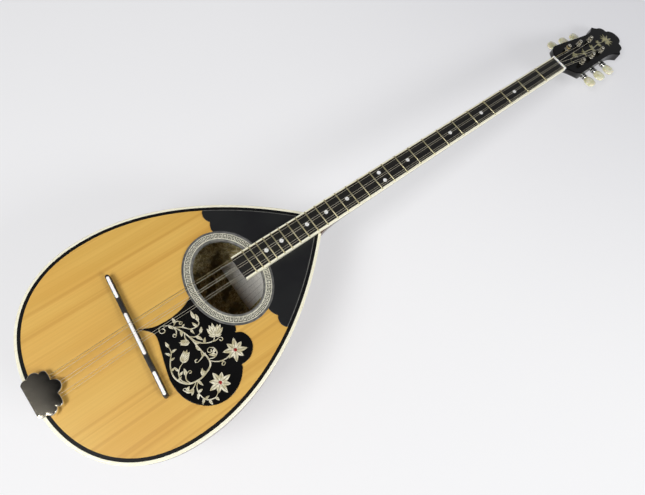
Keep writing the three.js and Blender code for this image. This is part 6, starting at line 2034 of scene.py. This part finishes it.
def string(number):
    """A string: a round tube from its hook over the saddle and the nut, then wound as a helix round
    its post, with an eye round the hook and its end twisted round itself."""
    radius = STRING_DIAMETERS[number] / 2
    lift = STRING_LIFT + radius
    pitches = (HOOK_PITCHES, BRIDGE_PITCHES, NUT_PITCHES)
    hook_y, bridge_y, nut_y = (course_y(number, pair) for pair in pitches)
    hook_place = np.array([HOOK_X + SEAT_GAP, hook_y, STRING_LOOP_Z])
    saddle_place = np.array([BRIDGE_X + bridge_y * math.tan(BRIDGE_SLANT), bridge_y, SADDLE_SEAT + lift])
    nut_front = np.array([0, nut_y, FRETBOARD_TOP + STRING_OVER_BOARD + lift])
    nut_back = nut_front + (NUT_BONE / 2, 0, 0)
    side = 1 if number < POSTS_A_SIDE else -1
    post_along = post_x(number if side == 1 else STRING_COUNT - 1 - number)
    to_row = np.linalg.inv(INSTRUMENT) @ machine_row(side)
    local = placed(nut_back, np.linalg.inv(to_row))
    away = np.array([local[0] - post_along, side * local[1]])
    wrap = POST_RADIUS + WRAP_GAP + radius
    start = math.atan2(away[1], away[0]) + math.acos(wrap / np.linalg.norm(away))
    turns = np.arange(WINDING_TURNS * WINDING_STEPS + 1) / WINDING_STEPS
    plan = (post_along, 0) + (wrap, side * wrap) * on_circle(start + 2 * np.pi * turns)
    windings = placed(at_height(plan, OVERLAY_TOP + WINDING_HEIGHT + WINDING_PITCH * turns), to_row)
    path = np.concatenate([[hook_place, saddle_place, nut_front, nut_back], windings])
    wire = circle(radius, STRING_SIDES)
    eye = (HOOK_X - HOOK_RADIUS, hook_y) + EYE_HALF_SIZES * circle(1, EYE_STEPS)
    twist = np.linspace(0, 1, TWIST_STEPS)[:, None]
    spin = 2 * radius * TWIST_SPREAD * on_circle(2 * np.pi * TWIST_TURNS * twist[:, 0])
    tail = hook_place + unit(saddle_place - hook_place) * (TWIST_START + TWIST_LENGTH * twist)
    return joined([
        carried(path, wire, UP),
        carried(at_height(eye, STRING_LOOP_Z - EYE_DROP), wire, UP, closed=True),
        carried(tail + np.insert(spin, 0, 0, axis=1), circle(radius * TWIST_THINNING, TWIST_SIDES), TWIST_UP),
    ])


for number in range(STRING_COUNT):
    metal, slot = (BRONZE, "wound") if number == 0 else (WIRE, "steel")
    name = f"string_{number + 1}"
    make_piece(f"{name}_wire", string(number), metal, [name])


# Camera, floor and light

CAMERA_PLACE = (-0.24987, -0.19523, 0.74849)
CAMERA_TURN = [math.radians(angle) for angle in (18.0398, -0.224, -36.7584)]
CAMERA_LENS = 31.74
SENSOR_WIDTH = 36
camera = bpy.data.objects.new("camera", bpy.data.cameras.new("camera"))
bpy.context.scene.collection.objects.link(camera)
camera.location = CAMERA_PLACE
camera.rotation_euler = CAMERA_TURN
camera.data.lens = CAMERA_LENS
camera.data.sensor_width = SENSOR_WIDTH
bpy.context.scene.camera = camera


IMAGE_UP = (0.598, 0.801, 0)
TABLE_SIZE = 24
PAPER_GLOW = 0.5
# Where the paper's painted shade is darkest
SHADED_CORNER = (0.8, 0.1, 0)
LAMP_TARGET = (0, 0, 0.1)
# Each lamp: its name, its place and size in metres, and its power in watts
LAMPS = [
    ("softbox_at_the_tail", (-1.08, -0.12, 1.64), 0.7, 21),
    ("softbox_at_the_treble_side", (0.36, -1.46, 1.25), 0.6, 15),
]


def table_paper():
    """White studio paper: matt, painted paler towards the lamps as a pool of light and darker round one
    corner as painted shade. To the camera and in mirrors half of it is plain paper colour, which keeps the
    object's shadows soft, and far away all of it is; its other light is bounced."""
    material, tree = new_finish("studio_paper")
    where = add_node(tree, "TexCoord").outputs["Object"]
    # Painted pool of light: the paper is paler towards the lamps, on the image's lower side
    distance = add_node(tree, "VectorMath", {0: where, 1: IMAGE_UP}, operation="DOT_PRODUCT")
    cloud = between(tree, grain(tree, (500, 500, 500), 2), 0.3, 0.7, -0.08, 0.08)
    distance = add_node(tree, "Math", {0: distance.outputs["Value"], 1: cloud}, operation="ADD")
    colour = tinted(tree, between(tree, distance, -0.35, 0.75), "#f6f6f7", "#f2f2f4")
    # Painted shade: the paper is darker round one corner
    corner = add_node(tree, "VectorMath", {0: where, 1: SHADED_CORNER}, operation="DISTANCE")
    colour = tinted(tree, between(tree, corner.outputs["Value"], 0, 0.9, 1, 0), colour, "#dfdfe3")
    away = add_node(tree, "VectorMath", {0: where}, operation="LENGTH").outputs["Value"]
    far = between(tree, away, 0.9, 2.8)
    colour = tinted(tree, far, colour, "#ececee")
    bounced = add_node(tree, "BsdfDiffuse", {"Color": colour})
    plain = add_node(tree, "Emission", {"Color": colour, "Strength": 1})
    path = add_node(tree, "LightPath").outputs
    seen = path["Is Camera Ray"]
    for ray in ("Is Glossy Ray", "Is Transmission Ray"):
        seen = add_node(tree, "Math", {0: seen, 1: path[ray]}, operation="MAXIMUM")
    glow = between(tree, far, 0, 1, PAPER_GLOW, 1)
    share = add_node(tree, "Math", {0: seen, 1: glow}, operation="MULTIPLY")
    mixed = add_node(tree, "MixShader", {0: share, 1: bounced, 2: plain})
    add_node(tree, "OutputMaterial", {"Surface": mixed})
    return material


low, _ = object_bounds()
table_mesh = bpy.data.meshes.new("table")
corners = [(x * TABLE_SIZE / 2, y * TABLE_SIZE / 2, low.z) for x, y in ((-1, -1), (1, -1), (1, 1), (-1, 1))]
table_mesh.from_pydata(corners, [], [(0, 1, 2, 3)])
table = bpy.data.objects.new("table", table_mesh)
table_mesh.materials.append(table_paper())
bpy.context.scene.collection.objects.link(table)


def add_lamp(name, place, size, power):
    """A soft square lamp at a place, turned to the object."""
    lamp = bpy.data.objects.new(name, bpy.data.lights.new(name, "AREA"))
    lamp.data.shape = "SQUARE"
    lamp.data.size = size
    lamp.data.energy = power
    lamp.location = place
    lamp.rotation_euler = (Vector(LAMP_TARGET) - Vector(place)).to_track_quat("-Z", "Y").to_euler()
    bpy.context.scene.collection.objects.link(lamp)


for lamp_values in LAMPS:
    add_lamp(*lamp_values)


def studio_world():
    """The studio round the object: bright near the horizon and dark overhead, so that flat polished
    tops mirror a dark room."""
    world = bpy.data.worlds.new("studio")
    world.use_nodes = True
    tree = world.node_tree
    tree.nodes.clear()
    way = add_node(tree, "TexCoord").outputs["Generated"]
    height = add_node(tree, "SeparateXYZ", {"Vector": way}).outputs["Z"]
    colour = tinted(tree, between(tree, height, 0.1, 0.6), "#f8f8fa", "#5e5e61")
    room = add_node(tree, "Background", {"Color": colour, "Strength": 0.9})
    add_node(tree, "OutputWorld", {"Surface": room})
    bpy.context.scene.world = world


studio_world()
bpy.context.scene.view_settings.view_transform = "Standard"
